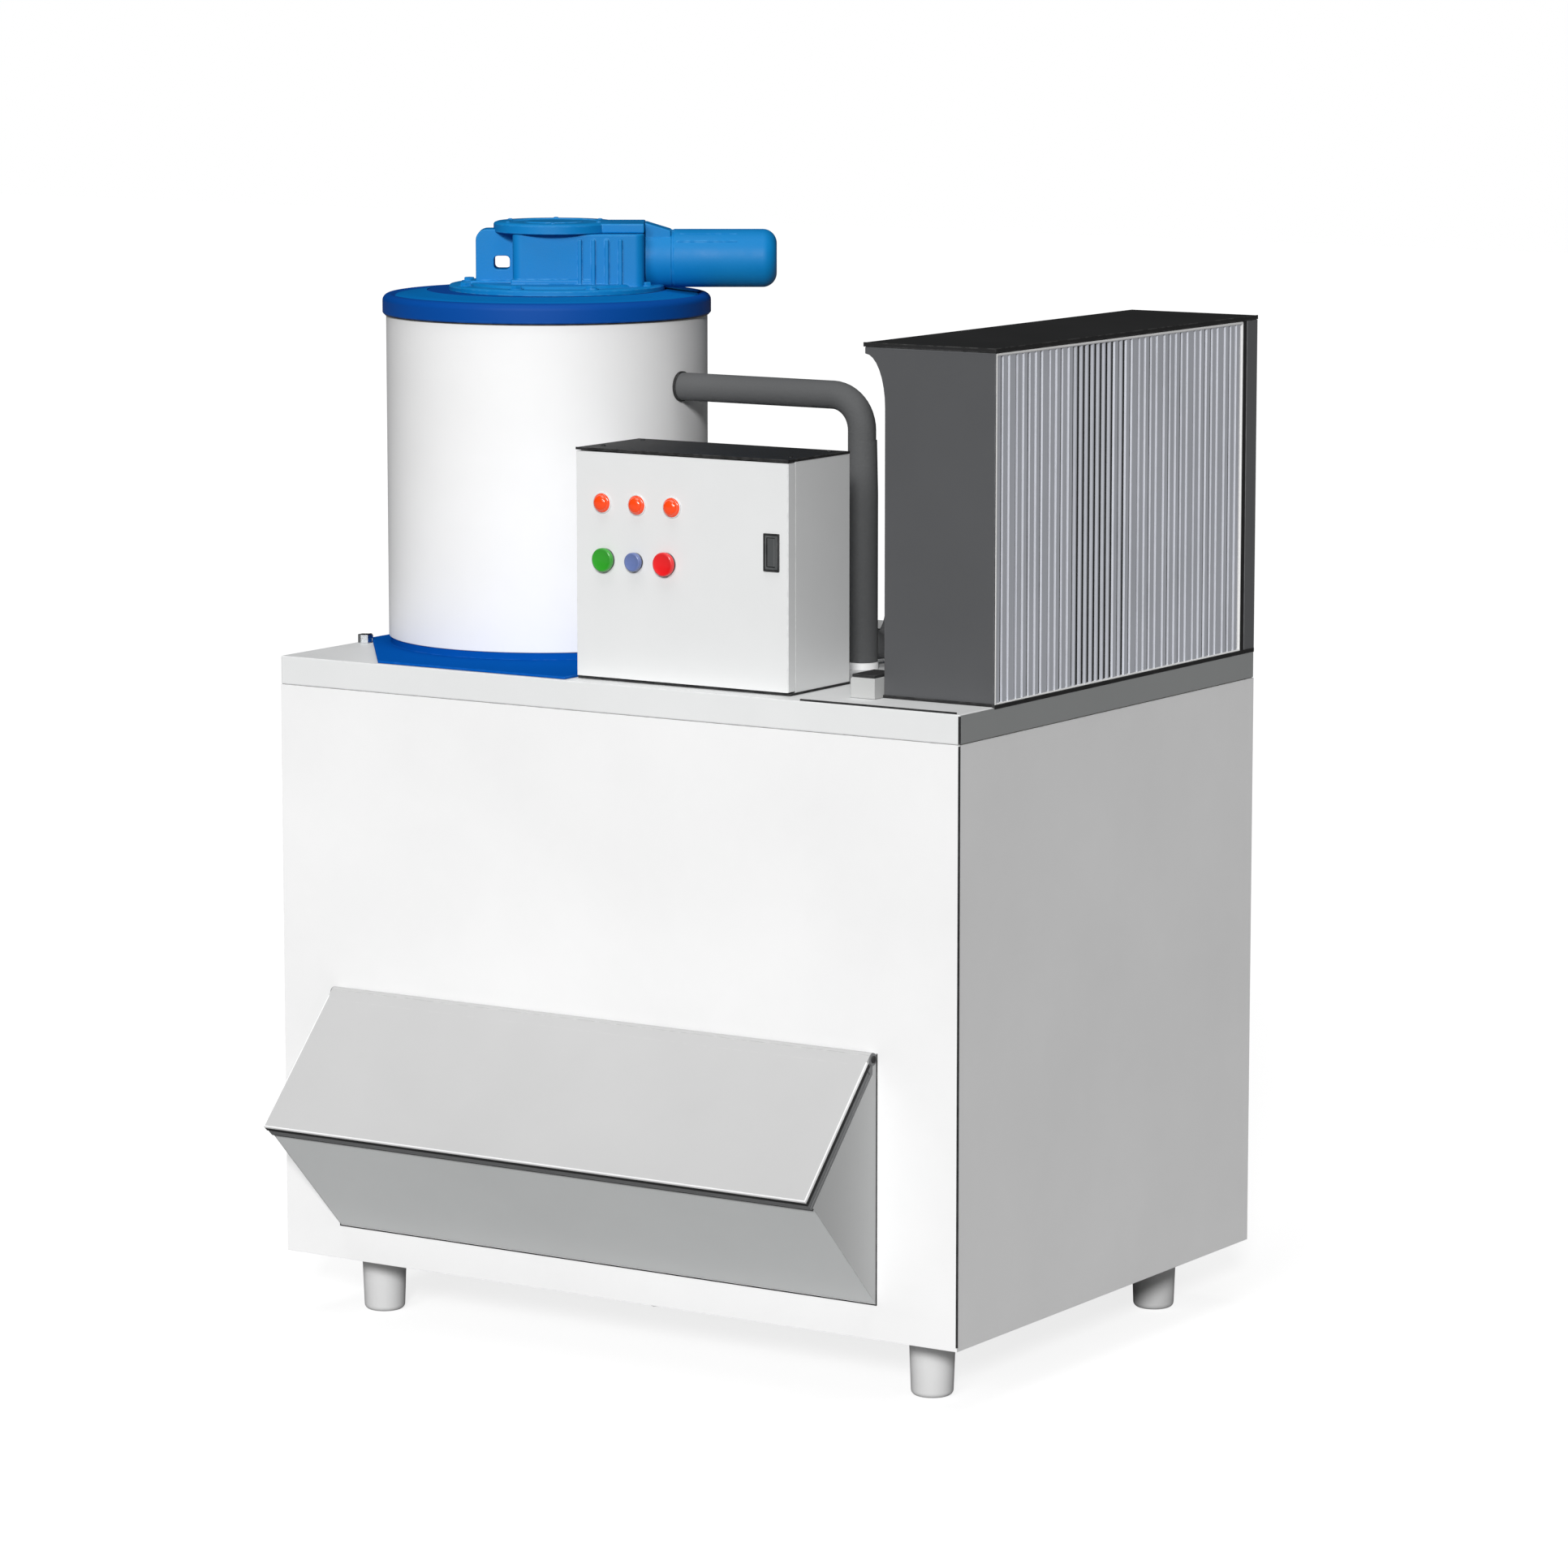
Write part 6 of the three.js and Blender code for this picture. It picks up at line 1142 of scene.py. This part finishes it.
class ControlBox:
    """The lamps, the buttons and the small fittings of the control box."""

    LAMPS = ("lamp_1", "lamp_2", "lamp_3")
    BUTTONS = (("start_button", "start_push", "button_green"), ("reset_button", "reset_push", "button_blue"),
               ("stop_button", "stop_push", "button_red"))
    STEM_RADIUS = 7.8
    BUTTON_INSET = 1.0          # how much smaller a button looks than its sub-part

    def build(self) -> None:
        """Model what sits on the box and its door."""
        dress(Bench.joined("lamp_rings", [self.lamp(name) for name in self.LAMPS]), "pale_panel", "door")
        for name, body, finish in self.BUTTONS:
            self.button(name, body, finish)
        self.screws()
        self.trims()

    @staticmethod
    def seat(name: str) -> tuple[Place, float, float, float]:
        """Give a round fitting's place on the door, its radius, its rise and its depth behind."""
        low, high = corners(name)
        face = corners("control_door")[0].y
        place = ((low.x + high.x) / 2, face, (low.z + high.z) / 2)
        return place, (high.x - low.x) / 2, face - low.y, high.y - face

    def lamp(self, name: str) -> Piece:
        """Turn a lamp's stepped lens and dress it, and turn the ring round it.

        Args:
            name: the sub-part's name.

        Returns:
            The ring.
        """
        place, radius, rise, _ = self.seat(name)
        lens = Bench.turned(f"{name}_lens", [
            (0, 22), (self.STEM_RADIUS, 22), (self.STEM_RADIUS, -0.3), (radius, -0.3), (radius, -2.4),
            (radius - 0.9, -3.2), (radius - 1.6, -3.4), (radius * 0.80, -rise * 0.72),
            (radius * 0.62, -rise * 0.90), (radius * 0.34, -rise), (0, -rise)], place, Axis.Y, 48, 50)
        dress(lens, "lamp_red", "door", (name,))
        return Bench.turned("lamp_ring", [
            (radius + 0.1, -0.2), (radius + 1.6, -0.2), (radius + 1.4, -1.2), (radius + 0.4, -1.6),
            (radius + 0.1, -1.2), (radius + 0.1, -0.2)], place, Axis.Y, 48, 40)

    def button(self, name: str, body: str, finish: str) -> None:
        """Turn a button with its dished head, and the thin collar round its stem.

        Args:
            name: the sub-part's name.
            body: the body that it moves with.
            finish: its finish.
        """
        place, radius, rise, stem = self.seat(name)
        radius -= self.BUTTON_INSET
        hole = self.STEM_RADIUS + 0.4
        head = Bench.turned(f"{name}_head", [
            (0, stem), (self.STEM_RADIUS, stem), (self.STEM_RADIUS, -3.2), (radius - 0.4, -3.2),
            (radius, -3.7), (radius, 1.6 - rise), (radius - 0.5, 0.5 - rise), (radius - 1.7, -rise),
            (radius - 3.2, 0.5 - rise), (radius * 0.4, 1.1 - rise), (0, 1.3 - rise)], place, Axis.Y, 56, 34)
        dress(head, finish, body, (name,))
        collar = Bench.turned(f"{name}_collar", [
            (hole, -0.1), (radius - 0.6, -0.1), (radius - 0.6, -0.4), (radius - 0.8, -0.5), (hole, -0.5),
            (hole, -0.1)], place, Axis.Y, 56, 34)
        dress(collar, "grey_plastic", "door")

    @staticmethod
    def screws() -> None:
        """Set the screws of the box's top and back."""
        low, high = corners("control_box")
        top = corners("control_box_top")[1].z
        sides = (low.x + 18, high.x - 18)
        screws("control_top_screws", "black_metal", 3.2, Axis.Z,
               [(x, y, top - 0.2) for x in sides for y in (low.y + 30, high.y - 18)])
        screws("control_back_screws", "pale_panel", 2.8, Axis.Y,
               [(x, high.y - 0.1, z) for x in sides for z in (low.z + 20, high.z - 20)])

    @staticmethod
    def trims() -> None:
        """Set the dark trims, the door's turned edge and the latch's bezel."""
        low, high = corners("control_box")
        seat, crest = corners("control_box_top")
        strips("control_box_trims", "rubber", 0.3, [
            ((low.x - 0.8, low.y + 1, low.z - 0.1), (high.x + 0.9, high.y + 0.8, low.z + 2.8)),
            ((seat.x, seat.y - 0.5, seat.z + 0.2), (crest.x + 0.5, seat.y + 1, crest.z + 0.3)),
            ((crest.x - 1, seat.y, seat.z + 0.2), (crest.x + 0.5, crest.y, crest.z + 0.3))])
        near, far = corners("control_door")
        strips("door_turned_edge", "pale_panel", 0.5, [
            ((far.x - 1.5, near.y + 0.6, near.z + 0.4), (high.x, far.y - 0.3, far.z - 0.4))], "door")
        inner, outer = corners("door_latch_paddle")
        rim = corners("door_latch_frame")[0].y
        bezel = Bench.box("latch_bezel", (inner.x - 2.6, rim - 0.5, inner.z - 3.2),
                          (outer.x + 4.4, rim + 1, outer.z + 3.2))
        Bench.cut(bezel, (inner.x - 0.8, rim - 10, inner.z - 0.8), (outer.x + 0.8, rim + 10, outer.z + 0.8))
        dress(Bench.rounded(bezel, 0.3, 2), "grey_plastic", "door")


class Piping:
    """The insulated suction pipe."""

    DECK = 848
    ACROSS, ALONG = 182, 9
    LEVEL, FOOT, PORT = DECK + 338, DECK + 25, DECK + 120
    BACK = ALONG + 88
    RADIUS, BEND = 17.5, 42

    def build(self) -> None:
        """Bend the pipe anew, finely, and turn its sleeve, its seat and its collar at the drum."""
        deck, level, across, along = self.DECK, self.LEVEL, self.ACROSS, self.ALONG
        start = Drum.CENTRE[0] + Drum.RADIUS + 0.6
        end = corners("suction_pipe")[1].y
        pipe = Bench.pipe("suction_pipe_wrapped", [
            (start, along, level), (across, along, level), (across, along, self.FOOT),
            (across, self.BACK, self.FOOT), (across, self.BACK, self.PORT), (across, end, self.PORT)],
            self.RADIUS, self.BEND, sides=40, bend_steps=12)
        dress(pipe, "pipe_foam", nodes=("suction_pipe",))
        for name, finish, profile in (
                ("riser_sleeve", "pipe_foam", [
                    (18.0, deck + 9.5), (18.6, deck + 9.2), (19.2, deck + 10), (19.2, level - 120),
                    (17.8, level - 54), (17.4, level - 54), (17.4, deck + 9.5), (18.0, deck + 9.5)]),
                ("riser_seat", "white_panel", [
                    (0, deck + 0.3), (20, deck + 0.3), (20, deck + 7.6), (19, deck + 9), (0, deck + 9)])):
            dress(Bench.turned(name, profile, (across + 1, along, 0), sides=48, crease=40), finish)
        collar = Bench.turned("suction_collar_round", [
            (17.8, 0), (18.6, 0), (18.9, 0.4), (18.9, 3.2), (18.5, 3.8), (17.8, 3.8), (17.8, 0)],
            (start - 0.3, along, level), Axis.X, 48, 30)
        dress(collar, "rubber", nodes=("suction_collar",))


@dataclass(frozen=True)
class FinFold:
    """The widths of one fin's flat face, of its slope and of the gap after it."""

    flat: float
    slope: float
    gap: float

    @property
    def pitch(self) -> float:
        """How far it is from this fin to the next."""
        return self.flat + self.slope + self.gap


class Condenser:
    """The fins, their frame and the fan."""

    FOLDS = {"w": FinFold(13.4, 1.2, 5.4), "m": FinFold(8.0, 1.4, 6.2), "f": FinFold(9.6, 0.8, 4.6),
             "n": FinFold(2.6, 2.9, 8.8)}
    FIN_ORDER = "mfwfmfmwfmfmnnnnnnnmnmwfmfwmfmfwfmmfwmfm"
    FIN_RISE = 2.2
    FRAME_WALL = 4

    def build(self) -> None:
        """Model the fins, their frame, the trims, the screws and the fan's blades."""
        self.fins()
        self.frame()
        self.trims()
        self.screws()
        blades = Bench.rounded(Bench.copy_of("fan_blades", "fan_blades_round"), 0.5, 2, 40)
        dress(blades, "grey_plastic", "fan", ("fan_blades",))

    def fins(self) -> None:
        """Fold one fin of each width, set them out in order and back them with a dark core, painted shade in
        the gaps between the fins.
        """
        low, high = corners("fin_pack")
        low, high = low - Vector((0, 4, 3.4)), high + Vector((0.4, 3.4, 4))
        stretch = (high.y - low.y) / sum(self.FOLDS[letter].pitch for letter in self.FIN_ORDER)
        places: dict[str, list[Place]] = {letter: [] for letter in self.FOLDS}
        along = 0.0
        for letter in self.FIN_ORDER:
            places[letter].append((0, along, 0))
            along += self.FOLDS[letter].pitch * stretch
        rows = [Bench.copies(self.fin(fold, low, high), places[letter], "fin_row")
                for letter, fold in self.FOLDS.items()]
        dress(Bench.joined("fin_stack", rows), "fins", nodes=("fin_pack",))
        core = (low + Vector((3, 1, 1)), high - Vector((self.FIN_RISE, 1, 1)))
        strips("fin_shade_core", "rubber", 0.5, [core], segments=1)

    def fin(self, fold: FinFold, low: Vector, high: Vector) -> Piece:
        """Fold one fin: a flat outer face with a slope on its near side.

        Args:
            fold: its widths.
            low: the stack's lowest corner, where the fin stands.
            high: the stack's highest corner.

        Returns:
            The fin.
        """
        fin = Bench.box("fin", low, (high.x - self.FIN_RISE, low.y + fold.flat + fold.slope, high.z))
        Bench.pick_faces(fin, lambda place, normal: normal.x > 0.9)
        bpy.ops.mesh.extrude_region_move(TRANSFORM_OT_translate={"value": (self.FIN_RISE * MM, 0, 0)})
        bpy.ops.object.mode_set(mode="OBJECT")
        Bench.shift(fin, lambda spot: spot.x > high.x - 0.1 and spot.y < low.y + 0.1, (0, fold.slope, 0))
        return fin

    def frame(self) -> None:
        """Fold the thin pale frame round the fins."""
        low, high = corners("coil_frame")
        rim = Bench.box("coil_frame_thin", low, high)
        wall = Vector((-10, self.FRAME_WALL, self.FRAME_WALL))
        dress(Bench.rounded(Bench.cut(rim, low + wall, high - wall), 1.9), "white_panel",
              nodes=("coil_frame",))

    @staticmethod
    def trims() -> None:
        """Fill the gap before the rear cover with a black block, painted shade between the frame and the
        cover, and edge the top plate in black.
        """
        frame_high, cover_low = corners("coil_frame")[1], corners("condenser_rear_cover")[0]
        low, high = corners("condenser_top_plate")
        gap = Bench.box("rear_gap_shade", (470, frame_high.y + 0.2, cover_low.z),
                        (frame_high.x - 0.6, cover_low.y - 0.2, low.z - 0.2))
        side = Bench.box("top_side_trim", (high.x - 1, low.y, low.z),
                         (high.x + 0.6, high.y, high.z + 0.3), 0.4)
        front = Bench.box("top_front_trim", (low.x, low.y - 0.6, low.z),
                          (high.x + 0.6, low.y + 1, high.z + 0.3), 0.4)
        dress(Bench.joined("condenser_trims", (gap, side, front)), "rubber")

    @staticmethod
    def screws() -> None:
        """Set the screws of the rear cover's back."""
        low, high = corners("condenser_rear_cover")
        # The screws take the rear cover's lighter grey, painted light.
        screws("condenser_cover_screws", "cover_lit_grey", 2.8, Axis.Y,
               [(x, high.y - 0.1, z) for x in (low.x + 14, high.x - 14)
                for z in (low.z + 30, (low.z + high.z) / 2, high.z - 30)])


class Hopper:
    """The lid, folded from sheet, its hinge's ends, and the rim and joints of the trough."""

    LEFT, RIGHT = -414, 386
    HINGE = (0, -290, 426.5)
    SLOPE = math.radians(46.52)
    LENGTH = 208.1
    HALF = 8                    # of the lid's thickness
    SHEET = 7.2                 # where its sheet's underside is
    EAR = 15                    # how much of it is cut back at the hinge
    NOSE_OVERHANG = 1.2
    EDGE_INSET = 0.7

    def build(self) -> None:
        """Model the lid, the trough's rim, the hinge's ends, the cheeks and the joints."""
        self.lid()
        self.lid_edge()
        self.lid_core()
        self.rim()
        self.hinge_ends()
        self.cheeks()
        self.joints()

    def hung(self, piece: Piece) -> Piece:
        """Turn a piece from the lid's own frame, hinge along X, to its closed place."""
        return Bench.placed(piece, self.HINGE, (self.SLOPE, 0, 0))

    def lid(self) -> None:
        """Fold the lid's sheet with its hem and its rolled hinge edge."""
        left, right, sheet_low, half = self.LEFT, self.RIGHT, self.SHEET, self.HALF
        sheet = Bench.box("lid_sheet", (left, -self.LENGTH, sheet_low), (right, 0, half))
        hem = Bench.box("lid_hem", (left, -self.LENGTH, 2.6), (right, -self.EAR, 7.6))
        Bench.rounded(Bench.combine(sheet, hem, "UNION"), 0.7)
        width = right - left
        roll = Bench.turned("lid_roll", [(sheet_low, 0), (half, 0), (half, width), (sheet_low, width),
                                         (sheet_low, 0)], (left, 0, 0), Axis.X, 48, 0)
        Bench.cut(roll, (left - 10, -20, -20), (right + 10, 20, 0))
        Bench.cut(roll, (left - 10, -20, -20), (right + 10, 0, 20))
        whole = Bench.joined("lid_folded", (sheet, Bench.smooth(roll)))
        # The lid's grey is painted shade on white sheet, and its lighter edges are a painted highlight.
        dress(self.hung(whole), "lid_panel", "lid", ("hopper_lid",))

    def lid_edge(self) -> None:
        """Run a pale bead along the sheet's free edges, a painted highlight on the lid's rim, and a dark lip
        under it.
        """
        for name, finish, out, low, high, width in (("lid_highlight_bead", "white_panel", 0.5, 3.8, 8.3, 1.5),
                                                    ("lid_lip", "rubber", 0.2, -1.8, 3.7, 0.3)):
            ring = Bench.box(name, (self.LEFT - out, -self.LENGTH - out, low), (self.RIGHT + out, -9, high))
            wall = 2.2 - out
            Bench.cut(ring, (self.LEFT + wall, -self.LENGTH + wall, -20), (self.RIGHT - wall, 20, 20))
            dress(self.hung(Bench.rounded(ring, width, 4)), finish, "lid")

    def lid_core(self) -> None:
        """Fill the lid behind its edges, clear of the hinge's bosses, in a dark grey that paints the shade
        under the lid's sheet.
        """
        inset, nose = self.EDGE_INSET, -self.LENGTH + self.EDGE_INSET
        core = Bench.box("lid_core", (self.LEFT + 14, nose, -self.HALF),
                         (self.RIGHT - 14, -self.EAR - 1, 3.2))
        wings = Bench.box("wings", (self.LEFT + inset, nose, -self.HALF),
                          (self.RIGHT - inset, -self.EAR - 1.6, 3.2))
        dress(self.hung(Bench.rounded(Bench.combine(core, wings, "UNION"), 0.5, 2)), "lid_shade_grey", "lid")

    def hinge_ends(self) -> None:
        """Cap the trough's hinge bosses and stand the cheeks' tops before them, both in a dark grey that
        paints the shade under the lid, and head the pins.
        """
        middle = (0, 0, 0)
        caps, heads, stands = [], [], []
        for side, end in ((-1, self.LEFT), (1, self.RIGHT)):
            face = end + side * 1.2
            caps.append(Bench.rod("boss_cap", 7.7, (end - side * 0.2, face), middle, Axis.X, 40))
            heads.append(Bench.rod("hinge_pin_head", 4.4, (face, face + side * 1.5), middle, Axis.X, 32))
            inner, outer = sorted((end - side * 4, end + side * 0.2))
            stands.append(Bench.box("boss_stand", (inner, -16, -9), (outer, -6, -2.3), 0.4))
        dress(self.hung(Bench.joined("hinge_boss_caps", caps + stands)), "lid_shade_grey")
        dress(self.hung(Bench.joined("hinge_pin_heads", heads)), "rubber")

    def rim(self) -> None:
        """Stand a rim on the trough's mouth, round the lid's seal, in a dark grey that paints the lid's
        shadow on it, with a dark joint at its nose.
        """
        nose, out = -self.LENGTH + self.NOSE_OVERHANG, 0.2
        left, right = self.LEFT - out, self.RIGHT + out
        ring = Bench.box("mouth_rim", (left, nose, -13.0), (right, -1, -8.7))
        Bench.cut(ring, (self.LEFT + 4, nose + 6, -50), (self.RIGHT - 4, 100, 50))
        joint = Bench.box("mouth_joint", (left, nose + 0.4, -15.2), (right, nose + 6, -12.8))
        for piece, finish in ((ring, "lid_shade_grey"), (joint, "rubber")):
            dress(self.hung(Bench.rounded(piece, 0.3, 2)), finish)

    @staticmethod
    def cheeks() -> None:
        """Skin the trough's two ends with plates of a darker grey, painted shade on its end faces."""
        skin = Bench.copy_of("hopper_trough", "trough_cheeks")
        low, high = corners("hopper_trough")
        Bench.pick_faces(skin, lambda place, normal: abs(normal.x) < 0.9
                         or low.x + 0.1 < place.x < high.x - 0.1)
        bpy.ops.mesh.delete(type="FACE")
        bpy.ops.object.mode_set(mode="OBJECT")
        Bench.modify(skin, "SOLIDIFY", thickness=0.5 * MM, offset=1.0)
        dress(Bench.smooth(skin), "cheek_shade_grey")

    def joints(self) -> None:
        """Lay the dark joint where the trough meets the bin's front."""
        left, right, foot, head, front = self.LEFT, self.RIGHT, 126, 432, -281
        width, near, far = 1.7, front - 1, front + 1
        strips("trough_joints", "rubber", 0.3, [
            ((left, near, foot - width), (right + width, far, foot - 0.3)),
            ((right + 0.3, near, foot - width), (right + width, far, head)),
            ((left - width, near, foot - width), (left - 0.3, far, head))])


class BinJoints:
    """The dark joints of the bin's folded sheets and of the deck's edge, and the painted shade on the deck's
    right side.
    """

    SHELL_RADIUS, DECK_RADIUS = 1.4, 1.6
    EDGE_START = 276            # where the joint behind the deck's front lip begins

    def build(self) -> None:
        """Lay the joints at the bin's corner, along the deck's edge and at the condenser's foot, and a darker
        sheet on the deck's right side as painted shade.
        """
        low, high = corners("bin_outer_shell")
        shell = Bench.rod("corner_joint", self.SHELL_RADIUS, (low.z + 5, high.z - 1),
                          (high.x - 0.7, low.y + 0.7, 0))
        low, high = corners("deck_tray")
        deck = Bench.rod("deck_corner_joint", self.DECK_RADIUS, (low.z + 1, high.z - 2),
                         (high.x - 0.7, low.y + 0.9, 0))
        dress(Bench.joined("bin_corner_joints", (shell, deck)), "rubber")
        foot = corners("condenser_front_plate")[0]
        strips("deck_joints", "rubber", 0.5, [
            ((self.EDGE_START, low.y + 2, high.z - 1), (high.x - 6, low.y + 4.2, high.z + 2.2)),
            ((high.x - 2.5, foot.y, high.z - 3), (high.x + 0.8, high.y - 1, high.z + 2.4)),
            ((foot.x, foot.y - 2, high.z - 0.5), (high.x, foot.y + 0.6, high.z + 3.6))])
        # A darker sheet on the deck's right side paints the shade that falls on that side.
        strips("deck_side_shade_sheet", "trim_panel", 0.3, [
            ((high.x - 0.4, low.y + 2.4, low.z + 0.8), (high.x + 0.6, high.y - 2.4, high.z - 1.2))])


ASSEMBLIES = (Legs, Hopper, BinJoints, Drum, GearedMotor, ControlBox, Piping, Condenser)


def main() -> None:
    """Dress the whole machine and set up its portrait."""
    Paint.stock()
    Studio.set_up()
    for refined in REFINED:
        refined.build()
    for assembly in ASSEMBLIES:
        assembly().build()
    Bench.drop_everything()


if __name__ == "__main__":
    logging.basicConfig(level=logging.INFO)
    main()
